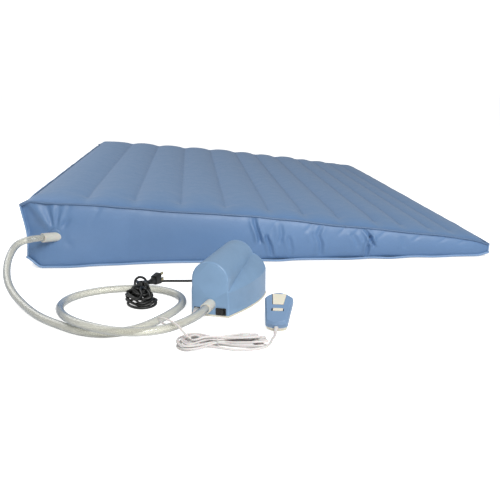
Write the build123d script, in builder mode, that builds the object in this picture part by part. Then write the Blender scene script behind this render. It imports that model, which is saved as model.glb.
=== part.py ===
from build123d import *
import math
import os

# An air bladder wedge with its pump, clear air hose, mains cord and corded hand control.
# The bladder lies on the floor (z = 0), centred on the origin: head end at -X, foot end at +X.
# The pump, cords and hand control lie on the floor off its near side (-Y). Millimetres.

os.makedirs("parts", exist_ok=True)

# ---------------------------------------------------------------- driving dimensions
BLADDER_L = 1160.0            # along X
BLADDER_W = 1473.0            # along Y
HEAD_H = 171.0                # height of the top welt at the head end
FOOT_H = 52.0                 # height of the top welt at the foot end
FABRIC = 1.6                  # fabric thickness
CHANNEL_RISE = 9.0            # crown of a wide channel above its seams
CHANNEL_FULL_W = 95.0         # narrower channels rise in proportion
SEAMS_X = [-438.0, -323.0, -208.0, -96.0, 16.0, 106.0, 198.0, 294.0, 364.0, 438.0, 497.0]
SEAM_DROP = 1.0               # seams below the top welt line
PANEL_END_INSET = 6.0         # top panel, from each end
PANEL_SIDE_INSET = 7.5        # top panel, from each side
WELT_R = 3.0
WELT_FILLET = 2.4
GUSSET_Z0 = 9.5
GUSSET_TOP_DROP = 7.5
HEAD_BULGE, FOOT_BULGE = 8.5, 3.0   # how far the long gussets belly out at each end

HOSE_R = 8.0
COLLAR_R = 11.0
COLLAR_BORE_R = 8.2           # socket for the hose
AIR_BORE_R = 5.5              # narrower bore beyond the socket
COLLAR_FILLET = 1.2
PORT_AT = (-508.5, -746.0, 78.5)
PORT_DIR = (-0.62, -0.775, 0.12)
PORT_LEN = 38.0
PORT_HOLE_R = 6.0

PUMP_AT = (-149.0, -1125.0, 0.0)    # middle of the front face, on the floor
PUMP_X = (0.9305, -0.3662, 0.0)
PUMP_LEN = 172.0
BASE_Z0, BASE_Z1 = 1.6, 5.0         # base plate underside and top
BASE_TOP_GAP = 0.1                  # parts standing on the base plate
CASE_Z0 = 5.2
# x and z on the front or rear face
OUTLET = OUTLET_X, OUTLET_Z = 1.0, 26.0
OUTLET_LEN = 30.0
SWITCH = SWITCH_X, SWITCH_Z = 22.4, 12.6
JACK = JACK_X, JACK_Z = -27.0, 12.8
CORD_EXIT = CORD_X, CORD_Z = -45, 14
# x and y in the pump's plan
CASE_POSTS = [(-32.0, 38.0), (32.0, 38.0), (-50.0, 150.0), (50.0, 150.0)]
VALVE = VALVE_X, VALVE_Y = OUTLET_X, 39.1
BLOWER = BLOWER_X, BLOWER_Y = 0, 112.0

MAINS_R = 2.7                 # mains cord
THIN_R = 1.85                 # hand-control cord

HANDSET_AT = (-30.5, -1213.0, 0.15)
HANDSET_YAW = -12.3           # degrees about Z
HANDSET_TILT = 28.0           # degrees, far end raised

half_length, half_width = BLADDER_L / 2, BLADDER_W / 2
slope = (HEAD_H - FOOT_H) / BLADDER_L


def top_z(x):
    """Height of the top welt line at x."""
    return HEAD_H - slope * (x + half_length)


# ---------------------------------------------------------------- shared helpers
def arc_chain(points, spans, closed=False, ends=None):
    """Draw tangent arcs, two to each span, close to the smooth curve through the points.

    They go into the current BuildLine; ends gives the directions at the start and the finish.
    """
    guide = Edge.make_spline([Vector(*p) for p in points], periodic=closed)
    for k in range(spans):
        start, end = guide @ (k / spans), guide @ ((k + 1) / spans)
        start_dir = (guide % (k / spans)).normalized()
        end_dir = (guide % ((k + 1) / spans)).normalized()
        if closed and k == spans - 1:
            end, end_dir = guide @ 0, (guide % 0).normalized()
        if ends and k == 0:
            start_dir = ends[0]
        if ends and k == spans - 1:
            end_dir = ends[1]

        # reach: tangent length for which the two arcs meet tangentially at the joint
        chord, dir_sum = end - start, start_dir + end_dir
        bend = 2 * (1 - start_dir.dot(end_dir))
        along, chord_sq = chord.dot(dir_sum), chord.dot(chord)
        if bend < 1e-9:
            reach = chord_sq / (2 * along)
        else:
            reach = (-along + math.sqrt(along * along + bend * chord_sq)) / bend
        corner1, corner2 = start + start_dir * reach, end - end_dir * reach
        joint = (corner1 + corner2) * 0.5
        joint_dir = (corner2 - corner1).normalized()

        for a, corner, b, a_dir in (
            (start, corner1, joint, start_dir),
            (joint, corner2, end, joint_dir),
        ):
            turn = math.acos(max(-1.0, min(1.0, a_dir.dot((b - corner).normalized()))))
            if turn < 1e-4:
                Line(a, b)
            else:
                weight = math.cos(turn / 2)
                middle = (a + b) * (0.5 / (1 + weight)) + corner * (weight / (1 + weight))
                ThreePointArc(a, middle, b)


def swept_cord(paths, spans, radius, closed=False):
    """Round cord swept along each path in turn."""
    with BuildPart() as cord:
        for path in paths:
            with BuildLine() as route:
                arc_chain(path, spans, closed)
            with BuildSketch(Plane(origin=route.line @ 0, z_dir=route.line % 0)):
                Circle(radius)
            sweep()
    return cord


def cord_tie(plane, outer, inner):
    """Band round a bundle; outer and inner are (width, height, corner radius)."""
    with BuildPart() as tie:
        with BuildSketch(plane):
            RectangleRounded(*outer)
            RectangleRounded(*inner, mode=Mode.SUBTRACT)
        extrude(amount=1.6, both=True)
    return tie


def cross_screws(plane, spots, head_r, head_h, shank_r, length, slot_l, slot_w):
    """Screws with heads on the plane; the cross recess is as deep as its slots are wide."""
    with BuildPart() as screws:
        for radius, height in ((head_r, head_h), (shank_r, length)):
            with BuildSketch(plane):
                with Locations(*spots):
                    Circle(radius)
            extrude(amount=height)
        with BuildSketch(plane):
            with Locations(*spots):
                Rectangle(slot_l, slot_w)
                Rectangle(slot_w, slot_l)
        extrude(amount=slot_w, mode=Mode.SUBTRACT)
    return screws


# ---------------------------------------------------------------- bladder
with BuildPart() as base_panel:
    with BuildSketch(Plane.XY):
        RectangleRounded(BLADDER_L, BLADDER_W, 12)
    extrude(amount=FABRIC)

# scalloped top: an arc per channel, seam to seam
channel_edges = [-half_length + PANEL_END_INSET] + SEAMS_X + [half_length - PANEL_END_INSET]
with BuildPart() as top_panel:
    with BuildSketch(Plane.XZ.offset(half_width - PANEL_SIDE_INSET)):
        with BuildLine():
            for x0, x1 in zip(channel_edges[:-1], channel_edges[1:]):
                x_mid = (x0 + x1) / 2
                rise = CHANNEL_RISE * min(1.0, (x1 - x0) / CHANNEL_FULL_W)
                for depth in (0, FABRIC):
                    ThreePointArc(
                        (x0, top_z(x0) - SEAM_DROP - depth),
                        (x_mid, top_z(x_mid) - SEAM_DROP + rise - depth),
                        (x1, top_z(x1) - SEAM_DROP - depth),
                    )
            for x in (channel_edges[0], channel_edges[-1]):
                Line((x, top_z(x) - SEAM_DROP - FABRIC), (x, top_z(x) - SEAM_DROP))
        make_face()
    extrude(amount=-(BLADDER_W - 2 * PANEL_SIDE_INSET))


def long_gusset(side):
    """Bellied strip along the near (side -1) or far (+1) edge, tall at the head end."""
    outer = side * half_width
    inner = outer - side * FABRIC
    with BuildPart() as gusset:
        for x, bulge in ((-half_length + 3.5, HEAD_BULGE), (half_length - 3.5, FOOT_BULGE)):
            z1 = top_z(x) - GUSSET_TOP_DROP
            z_mid = (GUSSET_Z0 + z1) / 2
            belly = side * bulge
            with BuildSketch(Plane(origin=(x, 0, 0), x_dir=(0, 1, 0), z_dir=(1, 0, 0))):
                with BuildLine():
                    ThreePointArc((outer, GUSSET_Z0), (outer + belly, z_mid), (outer, z1))
                    Line((outer, z1), (inner, z1))
                    ThreePointArc((inner, z1), (inner + belly, z_mid), (inner, GUSSET_Z0))
                    Line((inner, GUSSET_Z0), (outer, GUSSET_Z0))
                make_face()
        loft(ruled=True)
    return gusset


def end_gusset(side, height):
    """Flat strip across the head (side -1) or foot (+1) end."""
    with BuildPart() as gusset:
        with BuildSketch(Plane.XY.offset(GUSSET_Z0)):
            with Locations((side * (half_length - FABRIC / 2), 0)):
                Rectangle(FABRIC, BLADDER_W - 12)
        extrude(amount=height - GUSSET_TOP_DROP - GUSSET_Z0)
    return gusset


plain_near_gusset = long_gusset(-1)
hole_origin = (PORT_AT[0], -half_width - 20, PORT_AT[2])
with BuildPart() as near_gusset:
    add(plain_near_gusset.part)
    # air opening behind the port
    with BuildSketch(Plane(origin=hole_origin, x_dir=(1, 0, 0), z_dir=(0, -1, 0))):
        Circle(PORT_HOLE_R)
    extrude(amount=-40, mode=Mode.SUBTRACT)

far_gusset = long_gusset(1)
head_gusset = end_gusset(-1, HEAD_H)
foot_gusset = end_gusset(1, FOOT_H)

# cross webs under every seam, stopping short of both panels
WEB_Z0 = FABRIC + 0.4
WEB_TOP_GAP = 0.8
with BuildPart() as baffle_webs:
    for x in SEAMS_X:
        with BuildSketch(Plane.XY.offset(WEB_Z0)):
            with Locations((x, 0)):
                Rectangle(1.2, BLADDER_W - 133)
        extrude(amount=top_z(x) - SEAM_DROP - FABRIC - WEB_TOP_GAP - WEB_Z0)


def welt(plane, length):
    """Rounded cord ring round the bladder edge, standing on the plane."""
    with BuildPart() as ring:
        with BuildSketch(plane):
            RectangleRounded(length + 2 * WELT_R, BLADDER_W + 2 * WELT_R, 14)
            RectangleRounded(
                length - 2 * WELT_R, BLADDER_W - 2 * WELT_R, 8, mode=Mode.SUBTRACT
            )
        extrude(amount=2 * WELT_R)
        # every edge but those running through the thickness
        flat_edges = ring.edges().filter_by(
            lambda e: abs(e.tangent_at(0.5).dot(plane.z_dir)) < 0.3
        )
        fillet(flat_edges, WELT_FILLET)
    return ring


slope_angle = math.atan(slope)
top_plane = Plane(
    origin=(0, 0, (HEAD_H + FOOT_H) / 2 - WELT_R - 0.3),
    x_dir=(math.cos(slope_angle), 0, -math.sin(slope_angle)),
    z_dir=(math.sin(slope_angle), 0, math.cos(slope_angle)),
)
top_welt = welt(top_plane.offset(-WELT_R), BLADDER_L / math.cos(slope_angle))
base_welt = welt(Plane.XY.offset(FABRIC + 0.6), BLADDER_L)

with BuildPart() as corner_welts:
    for x in (-half_length, half_length):
        for y in (-half_width, half_width):
            with BuildSketch(Plane.XY.offset(GUSSET_Z0)):
                with Locations((x, y)):
                    Circle(2.4)
            extrude(amount=top_z(x) - 8.0 - GUSSET_Z0)

# ---------------------------------------------------------------- air port on the near gusset
port_face = Plane(origin=PORT_AT, x_dir=(1, 0, 0), z_dir=(0, -1, 0))


def port_ring(radius, gap, thickness, rounding):
    """Flat ring round the air opening, its outer rim rounded."""
    with BuildPart() as ring:
        with BuildSketch(port_face.offset(gap)):
            Circle(radius)
            Circle(PORT_HOLE_R, mode=Mode.SUBTRACT)
        extrude(amount=thickness)
        rim = ring.faces().sort_by(Axis.Y)[0].edges().sort_by(SortBy.LENGTH)[-1:]
        fillet(rim, rounding)
    return ring


port_patch = port_ring(radius=22, gap=0, thickness=1.2, rounding=0.8)
port_flange = port_ring(radius=16, gap=1.4, thickness=2.4, rounding=1.2)

port_dir = Vector(*PORT_DIR).normalized()
port_root = Vector(*PORT_AT) + Vector(0, -4.0, 0)
port_tip = port_root + port_dir * PORT_LEN
port_axis = Plane(origin=port_root, x_dir=Vector(0, 0, 1).cross(port_dir), z_dir=port_dir)
with BuildPart() as port_collar:
    with BuildSketch(port_axis.offset(-10)):
        Circle(COLLAR_R)
    extrude(amount=PORT_LEN + 10)
    tip_face = port_collar.faces().sort_by(Axis((0, 0, 0), tuple(port_dir)))[-1]
    fillet(tip_face.edges(), COLLAR_FILLET)
    for radius, depth in ((COLLAR_BORE_R, 24), (AIR_BORE_R, PORT_LEN + 20)):
        with BuildSketch(port_axis.offset(PORT_LEN)):
            Circle(radius)
        extrude(amount=-depth, mode=Mode.SUBTRACT)
    # trim flush with the flange
    with BuildSketch(port_face.offset(4.0)):
        Rectangle(120, 120)
    extrude(amount=-60, mode=Mode.SUBTRACT)

# ---------------------------------------------------------------- pump planes
pump = Plane(origin=PUMP_AT, x_dir=PUMP_X, z_dir=(0, 0, 1))


def section(y):
    """Plane facing out of the pump's front, y behind the front face: X to the right, Y up."""
    return Plane(
        origin=pump.from_local_coords((0, y, 0)), x_dir=pump.x_dir, z_dir=-pump.y_dir
    )


def at_pump(x, y, z):
    return pump.from_local_coords((x, y, z))


# ---------------------------------------------------------------- clear air hose
hose_lead = at_pump(OUTLET_X, -OUTLET_LEN - 16, OUTLET_Z)
hose_mouth = at_pump(OUTLET_X, -OUTLET_LEN, OUTLET_Z)
hose_end = at_pump(OUTLET_X, -14, OUTLET_Z)
outlet_dir = (hose_end - hose_lead).normalized()
# x, y, z of the centre line from the port down to the floor, round a coil and up to the outlet
HOSE_POINTS = [
    (-571, -801, 81), (-587, -846, 69), (-584, -908, 49), (-560, -986, 27),
    (-519, -1055, 13), (-467, -1127, 8.3), (-422, -1173, 8.1), (-375, -1208, 8.1),
    (-327, -1216, 8.1), (-287, -1200, 8.1), (-253, -1164, 8.1), (-223, -1117, 8.1),
    (-204, -1065, 8.1), (-211, -1013, 8.1), (-245, -974, 8.1), (-317, -954, 8.1),
    (-383, -967, 8.1), (-426, -1002, 9), (-442, -1059, 13), (-435, -1118, 20),
    (-412, -1176, 25), (-382, -1212, 26), (-349, -1237, 26), (-311, -1256, 26),
    (-273, -1262, 26), (-236, -1253, 26), (-202, -1225, 26),
]
hose_start = port_tip + port_dir * 3
hose_finish = hose_mouth - outlet_dir * 3
hose_path = [
    hose_start, port_tip + port_dir * 14, *HOSE_POINTS, hose_lead, hose_finish,
]
with BuildPart() as air_hose:
    with BuildLine() as hose_line:
        Line(port_tip - port_dir * 18, hose_start)
        arc_chain(hose_path, 36, ends=(port_dir, outlet_dir))
        Line(hose_finish, hose_end)
    with BuildSketch(Plane(origin=hose_line.line @ 0, z_dir=hose_line.line % 0)):
        Circle(HOSE_R)
    sweep()

# ---------------------------------------------------------------- pump case
# stations from front to rear: y, half width at the floor, crease z,
# shoulder top (x, z), arch start (x, z), crown z, shoulder belly
CASE_OUTSIDE = [
    (0.0, 37.5, 50.0, 37.5, 52.0, 37.5, 73.0, 110.5, 0.1),
    (25.0, 46.5, 51.0, 37.5, 60.0, 37.5, 73.5, 111.0, 0.8),
    (78.0, 61.5, 53.0, 37.5, 72.0, 37.4, 76.0, 112.0, 2.2),
    (172.0, 64.5, 57.0, 35.5, 88.0, 34.8, 90.0, 113.5, 4.0),
]
CASE_INSIDE = [
    (2.5, 35.8, 48.6, 35.2, 50.6, 35.0, 73.0, 108.0, 0.1),
    (25.0, 44.0, 49.4, 35.0, 58.2, 35.0, 73.5, 108.5, 0.8),
    (78.0, 59.0, 51.2, 35.0, 70.0, 34.9, 75.0, 109.5, 2.2),
    (169.5, 61.9, 55.2, 33.2, 86.0, 32.6, 88.0, 111.0, 4.0),
]


def case_loft(stations, floor_z):
    """Solid lofted through the stations, open to nothing, flat at floor_z."""
    with BuildPart() as body:
        for y, wide, crease_z, top_x, shoulder_z, arch_x, arch_z, crown_z, belly in stations:
            belly_x = (wide + top_x) / 2 + belly
            belly_z = (crease_z + shoulder_z) / 2 + belly
            with BuildSketch(section(y)):
                with BuildLine():
                    Line((-wide, floor_z), (wide, floor_z))
                    Line((wide, floor_z), (wide, crease_z))
                    ThreePointArc((wide, crease_z), (belly_x, belly_z), (top_x, shoulder_z))
                    Line((top_x, shoulder_z), (arch_x, arch_z))
                    ThreePointArc((arch_x, arch_z), (0, crown_z), (-arch_x, arch_z))
                    Line((-arch_x, arch_z), (-top_x, shoulder_z))
                    ThreePointArc((-top_x, shoulder_z), (-belly_x, belly_z), (-wide, crease_z))
                    Line((-wide, crease_z), (-wide, floor_z))
                make_face()
        loft()
    return body


case_outer = case_loft(CASE_OUTSIDE, CASE_Z0)
case_inner = case_loft(CASE_INSIDE, 3)

with BuildPart() as case_bosses:
    with BuildSketch(pump.offset(CASE_Z0)):
        with Locations(*CASE_POSTS):
            Circle(4)
    extrude(amount=70)
    add(case_outer.part, mode=Mode.INTERSECT)

with BuildPart() as pump_cover:
    add(case_outer.part)
    # edges of the front face, except along the floor
    front_edges = [
        e for e in pump_cover.edges()
        if abs(pump.to_local_coords(e @ 0.5).Y) < 0.01 and (e @ 0.5).Z > CASE_Z0 + 1
    ]
    fillet(front_edges, 4.0)
    add(case_inner.part, mode=Mode.SUBTRACT)
    add(case_bosses.part)
    # screw holes
    with BuildSketch(pump.offset(CASE_Z0 - 1)):
        with Locations(*CASE_POSTS):
            Circle(1.6)
    extrude(amount=15, mode=Mode.SUBTRACT)
    # front openings: outlet, switch, jack
    with BuildSketch(section(-5)):
        with Locations(OUTLET):
            Circle(8.2)
        with Locations(SWITCH):
            Rectangle(19.0, 13.0)
        with Locations(JACK):
            Rectangle(12.6, 10.4)
    extrude(amount=-12, mode=Mode.SUBTRACT)
    # rear openings: mains cord hole and a column of slots
    with BuildSketch(section(PUMP_LEN + 5)):
        with Locations(CORD_EXIT):
            Circle(4.2)
        for i in range(7):
            with Locations((0, 32 + 8 * i)):
                SlotOverall(46, 3.2)
    extrude(amount=12, mode=Mode.SUBTRACT)

# base plate outline, x and y of the right side from front to rear
BASE_SIDE = [(38.3, -0.6), (47.3, 25), (62.3, 78), (65.4, PUMP_LEN + 0.8)]
base_left_side = [(-x, y) for x, y in reversed(BASE_SIDE)]
with BuildPart() as pump_base:
    with BuildSketch(pump.offset(BASE_Z0)):
        with BuildLine():
            Spline(*BASE_SIDE)
            Line(BASE_SIDE[-1], base_left_side[0])
            Spline(*base_left_side)
            Line(base_left_side[-1], BASE_SIDE[0])
        make_face()
    extrude(amount=BASE_Z1 - BASE_Z0)
    # stand-offs for the circuit board
    with BuildSketch(pump.offset(BASE_Z1)):
        with Locations((27, 52), (45, 52), (27, 84), (45, 84)):
            Circle(2.4)
    extrude(amount=4.8)
    # screw holes and their counterbores
    for radius, depth in ((1.75, BASE_Z1 - BASE_Z0), (3.3, 1.9)):
        with BuildSketch(pump.offset(BASE_Z0)):
            with Locations(*CASE_POSTS):
                Circle(radius)
        extrude(amount=depth, mode=Mode.SUBTRACT)
    # air intake slots
    with BuildSketch(pump.offset(BASE_Z0)):
        for i in range(5):
            with Locations((0, 148 + 4.5 * i)):
                SlotOverall(40, 2.2)
    extrude(amount=BASE_Z1 - BASE_Z0, mode=Mode.SUBTRACT)

with BuildPart() as pump_feet:
    with BuildSketch(pump):
        with Locations((-28, 12), (28, 12), (-54, 162), (54, 162)):
            Circle(6)
    extrude(amount=BASE_Z0 - 0.05)

case_screws = cross_screws(
    pump.offset(BASE_Z0 + 0.1), CASE_POSTS,
    head_r=3.0, head_h=1.6, shank_r=1.5, length=15, slot_l=3.6, slot_w=0.8,
)

# ---------------------------------------------------------------- outlet and valve in the pump
with BuildPart() as outlet_collar:
    with BuildSketch(section(-0.2)):
        with Locations(OUTLET):
            Circle(10.5)
    extrude(amount=OUTLET_LEN - 0.2)
    forward = Axis(at_pump(0, 0, 0), tuple(-pump.y_dir))
    fillet(
        outlet_collar.edges().filter_by(GeomType.CIRCLE).sort_by(forward)[-1:], COLLAR_FILLET
    )
    # spigot through the front wall
    with BuildSketch(section(-0.2)):
        with Locations(OUTLET):
            Circle(8.0)
    extrude(amount=-24.2)
    for radius, depth in ((COLLAR_BORE_R, 18), (AIR_BORE_R, 70)):
        with BuildSketch(section(-OUTLET_LEN)):
            with Locations(OUTLET):
                Circle(radius)
        extrude(amount=-depth, mode=Mode.SUBTRACT)

with BuildPart() as valve_body:
    with BuildSketch(pump.offset(12)):
        with Locations(VALVE):
            RectangleRounded(28, 30, 2)
    extrude(amount=28)
    # through bore, then the bore up to the plunger
    with BuildSketch(section(20)):
        with Locations(OUTLET):
            Circle(6.5)
    extrude(amount=-40, mode=Mode.SUBTRACT)
    with BuildSketch(pump.offset(OUTLET_Z)):
        with Locations(VALVE):
            Circle(5)
    extrude(amount=20, mode=Mode.SUBTRACT)
    # pedestal onto the base plate
    with BuildSketch(pump.offset(BASE_Z1 + BASE_TOP_GAP)):
        with Locations(VALVE):
            Rectangle(16, 24)
    extrude(amount=7.2)

# disc and stem: z, radius, height
with BuildPart() as valve_plunger:
    for z, radius, height in ((40.1, 7, 3), (43, 2, 17)):
        with BuildSketch(pump.offset(z)):
            with Locations(VALVE):
                Circle(radius)
        extrude(amount=height)

with BuildPart() as valve_solenoid:
    # coil
    with BuildSketch(pump.offset(47)):
        with Locations(VALVE):
            Circle(9)
    extrude(amount=20.5)
    # bracket: bridge, then a leg down each side of the valve
    with BuildSketch(pump.offset(67)):
        with Locations(VALVE):
            Rectangle(33, 16)
    extrude(amount=2)
    with BuildSketch(pump.offset(24)):
        with Locations((VALVE_X - 15.5, VALVE_Y), (VALVE_X + 15.5, VALVE_Y)):
            Rectangle(2, 16)
    extrude(amount=44)
    # bore for the plunger stem
    with BuildSketch(pump.offset(46)):
        with Locations(VALVE):
            Circle(2.06)
    extrude(amount=18.5, mode=Mode.SUBTRACT)

with BuildPart() as outlet_duct:
    with BuildSketch(section(54.2)):
        with Locations(OUTLET):
            Circle(7.5)
            Circle(6, mode=Mode.SUBTRACT)
    extrude(amount=-28.8)

# ---------------------------------------------------------------- blower and motor
BLOWER_R = 31
BLOWER_WALL = 2.5
BLOWER_Z0 = BASE_Z1 + BASE_TOP_GAP
SHAFT_R = 2.0
# round cuts: z, radius, height
BLOWER_CUTS = [
    (BLOWER_Z0 + BLOWER_WALL, BLOWER_R - BLOWER_WALL, 7.4),   # lower room
    (17, BLOWER_R - BLOWER_WALL, 23),                         # upper room
    (10, 13, 10),                                             # eye between the rooms
    (35, 5, 20),                                              # shaft hole in the roof
]
with BuildPart() as blower_housing:
    with BuildSketch(pump.offset(BLOWER_Z0)):
        with Locations(BLOWER):
            Circle(BLOWER_R)
    extrude(amount=36.9)
    for z, radius, height in BLOWER_CUTS:
        with BuildSketch(pump.offset(z)):
            with Locations(BLOWER):
                Circle(radius)
        extrude(amount=height, mode=Mode.SUBTRACT)
    # intake window towards the rear, outlet hole towards the valve
    with BuildSketch(section(BLOWER_Y + 40)):
        with Locations((BLOWER_X, 11)):
            Rectangle(30, 6)
    extrude(amount=30, mode=Mode.SUBTRACT)
    with BuildSketch(section(70)):
        with Locations(OUTLET):
            Circle(7.7)
    extrude(amount=-22, mode=Mode.SUBTRACT)

with BuildPart() as impeller:
    # back plate and hub: z, radius, height
    for z, radius, height in ((34, 24, 1.6), (20, 5, 15)):
        with BuildSketch(pump.offset(z)):
            with Locations(BLOWER):
                Circle(radius)
        extrude(amount=height)
    # nine raked blades
    with BuildSketch(pump.offset(20)):
        with Locations(BLOWER):
            with PolarLocations(15.5, 9):
                with Locations(Location((0, 0, 0), (0, 0, 32))):
                    Rectangle(16, 1.6)
    extrude(amount=14.5)
    with BuildSketch(pump.offset(15)):
        with Locations(BLOWER):
            Circle(SHAFT_R)
    extrude(amount=25, mode=Mode.SUBTRACT)

with BuildPart() as motor_shaft:
    with BuildSketch(pump.offset(20.5)):
        with Locations(BLOWER):
            Circle(SHAFT_R)
    extrude(amount=60)

with BuildPart() as motor_mount:
    with BuildSketch(pump.offset(42.2)):
        with Locations(BLOWER):
            Circle(25)
            Circle(6, mode=Mode.SUBTRACT)
    extrude(amount=2.2)

with BuildPart() as motor_body:
    with BuildSketch(pump.offset(44.6)):
        with Locations(BLOWER):
            Circle(17)
    extrude(amount=40)
    fillet(motor_body.edges().filter_by(GeomType.CIRCLE), 2)
    with BuildSketch(pump.offset(44)):
        with Locations(BLOWER):
            Circle(SHAFT_R + 0.06)
    extrude(amount=37, mode=Mode.SUBTRACT)

# board with a block and two cylinders on it
BOARD_Z0, BOARD_T = 10, 1.6
with BuildPart() as circuit_board:
    with BuildSketch(pump.offset(BOARD_Z0)):
        with Locations((36, 68)):
            Rectangle(26, 40)
    extrude(amount=BOARD_T)
    with BuildSketch(pump.offset(BOARD_Z0 + BOARD_T)):
        with Locations((40, 76)):
            Rectangle(14, 15)
    extrude(amount=12)
    with BuildSketch(pump.offset(BOARD_Z0 + BOARD_T)):
        with Locations((30, 56), (41, 57)):
            Circle(4)
    extrude(amount=10)

# ---------------------------------------------------------------- switch on the front face
with BuildPart() as switch_frame:
    # bezel, body behind it, rocker pocket
    with BuildSketch(section(-0.1)):
        with Locations(SWITCH):
            RectangleRounded(20.6, 14.2, 1.2)
    extrude(amount=1.7)
    with BuildSketch(section(-0.1)):
        with Locations(SWITCH):
            Rectangle(18.6, 12.6)
    extrude(amount=-18)
    with BuildSketch(section(-3)):
        with Locations(SWITCH):
            Rectangle(15.8, 10.2)
    extrude(amount=-13, mode=Mode.SUBTRACT)

# rocker: seen from above a shallow V, turned about a vertical line so its left side is in
ROCKER_REST = -10.0           # degrees
ROCKER_H = 9.8
ROCKER_VALLEY_Y = -4.0
ROCKER_OUTLINE = [
    (-6.9, -5.6), (0, ROCKER_VALLEY_Y), (6.9, -5.6), (6.9, -0.6),
    (3.0, 4.6), (-3.0, 4.6), (-6.9, -0.6), (-6.9, -5.6),
]
rocker_plane = Plane(
    origin=at_pump(SWITCH_X, 2.2, 0), x_dir=pump.x_dir, z_dir=(0, 0, 1)
).rotated((0, 0, ROCKER_REST))
mark_plane = Plane(
    origin=rocker_plane.from_local_coords((0, ROCKER_VALLEY_Y, SWITCH_Z)),
    x_dir=rocker_plane.x_dir,
    z_dir=-rocker_plane.y_dir,
)
with BuildPart() as rocker:
    with BuildSketch(rocker_plane.offset(SWITCH_Z - ROCKER_H / 2)):
        with BuildLine():
            Polyline(*ROCKER_OUTLINE)
        make_face()
    extrude(amount=ROCKER_H)
    # raised marks: a bar on the right half, a ring on the left
    with BuildSketch(mark_plane):
        with Locations((3.9, 0)):
            Rectangle(0.6, 3.4)
        with Locations((-3.9, 0)):
            Circle(1.7)
            Circle(1.15, mode=Mode.SUBTRACT)
    extrude(amount=1.5)

# ---------------------------------------------------------------- jack and its plug
with BuildPart() as jack_socket:
    with BuildSketch(section(0.6)):
        with Locations(JACK):
            Rectangle(12.2, 10.0)
    extrude(amount=-17)
    with BuildSketch(section(0)):
        with Locations(JACK):
            Rectangle(9.8, 7.4)
    extrude(amount=-15, mode=Mode.SUBTRACT)

with BuildPart() as modular_plug:
    # body, reduced cord end, latch on top, cord bore
    with BuildSketch(section(-8)):
        with Locations(JACK):
            Rectangle(9.4, 6.4)
    extrude(amount=-20)
    with BuildSketch(section(-8)):
        with Locations(JACK):
            Rectangle(8.0, 5.2)
    extrude(amount=3)
    with BuildSketch(section(-6)):
        with Locations((JACK_X, JACK_Z + 3.6)):
            Rectangle(3.0, 1.2)
    extrude(amount=-5.5)
    with BuildSketch(section(-12)):
        with Locations(JACK):
            Circle(THIN_R + 0.35)
    extrude(amount=-9, mode=Mode.SUBTRACT)

# ---------------------------------------------------------------- mains cord, bundle and plug
with BuildPart() as cord_strain_relief:
    with BuildSketch(section(PUMP_LEN - 4)):
        with Locations(CORD_EXIT):
            Circle(4.0)
    extrude(amount=-8)
    # tapered sleeve behind the case
    for y, radius in ((PUMP_LEN + 0.2, 6.0), (PUMP_LEN + 20, 3.8)):
        with BuildSketch(section(y)):
            with Locations(CORD_EXIT):
                Circle(radius)
    loft()
    with BuildSketch(section(PUMP_LEN - 10)):
        with Locations(CORD_EXIT):
            Circle(MAINS_R + 0.4)
    extrude(amount=-40, mode=Mode.SUBTRACT)

# from the rear of the pump along the floor and up over the bundle
mains_path = [at_pump(CORD_X, PUMP_LEN + y, CORD_Z) for y in (-3, 10, 21)] + [
    (-112, -906, 9), (-122, -893, 5), (-146, -889, 3.1), (-187, -892, 2.9),
    (-217, -890, 2.9), (-247, -888, 2.9), (-272, -885, 5), (-292, -884, 9),
    (-308, -895, 13), (-311, -915, 19), (-306, -932, 25), (-300, -950, 28),
    (-297, -966, 28.6),
]
mains_cord = swept_cord([mains_path], 18, MAINS_R)


def mains_loop(k, spread, z, shift):
    """Points of loop k, pinched where it is tied at y = -990."""
    return [
        (-294 + shift - 3.6, -990, z),
        (-294 + shift - spread, -1030, z),
        (-284 + shift - spread * 0.8, -1058, z),
        (-284 + shift, -1070 + k, z),
        (-284 + shift + spread * 0.85, -1056, z),
        (-288 + shift + spread, -1028, z),
        (-286 + shift, -990, z),
        (-283 + shift, -981 - k, z),
        (-291 + shift, -976 - k, z),
        (-300 + shift, -981 - k, z),
    ]


# loops from the bottom up: spread, z, shift along X
MAINS_LOOPS = [(24, 3.7, 0), (27, 9.6, 3), (23, 15.5, -2), (20, 21.4, 1)]
mains_cord_bundle = swept_cord(
    [mains_loop(k, *loop) for k, loop in enumerate(MAINS_LOOPS)], 12, MAINS_R, closed=True
)
mains_cord_tie = cord_tie(
    Plane(origin=(-291, -990, 12.85), x_dir=(1, 0, 0), z_dir=(0, 1, 0)),
    outer=(39, 25.4, 4), inner=(36.6, 24.0, 2.0),
)

# plug lies with its blades one above the other; its plane is the face the blades leave
PLUG_AT = Vector(-257, -918, 19.5)
PLUG_DIR = Vector(0.56, 0.825, 0.06).normalized()
plug = Plane(
    origin=PLUG_AT, x_dir=Vector(PLUG_DIR.Y, -PLUG_DIR.X, 0).normalized(), z_dir=PLUG_DIR
)
BLADES = [(0, 6.35), (0, -6.35)]
# each taper runs between two (offset, width, height, corner radius)
PLUG_TAPERS = [
    ((0, 17, 25, 4), (-17, 15, 20, 4)),
    ((-17, 12, 14, 3), (-30, 9, 10, 3)),
]
with BuildPart() as plug_body:
    for taper in PLUG_TAPERS:
        for offset_z, width, height, corner in taper:
            with BuildSketch(plug.offset(offset_z)):
                RectangleRounded(width, height, corner)
        loft()
    # round tail
    for offset_z, radius in ((-30, 4.4), (-36, 3.6)):
        with BuildSketch(plug.offset(offset_z)):
            Circle(radius)
    loft()
    # blade pockets
    with BuildSketch(plug):
        with Locations(*BLADES):
            Rectangle(1.6, 6.4)
    extrude(amount=-12, mode=Mode.SUBTRACT)

BLADE_ROOT = 11.8
with BuildPart() as plug_blades:
    with BuildSketch(plug.offset(-BLADE_ROOT)):
        with Locations(*BLADES):
            Rectangle(1.5, 6.3)
    extrude(amount=BLADE_ROOT + 17.5)

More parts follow.
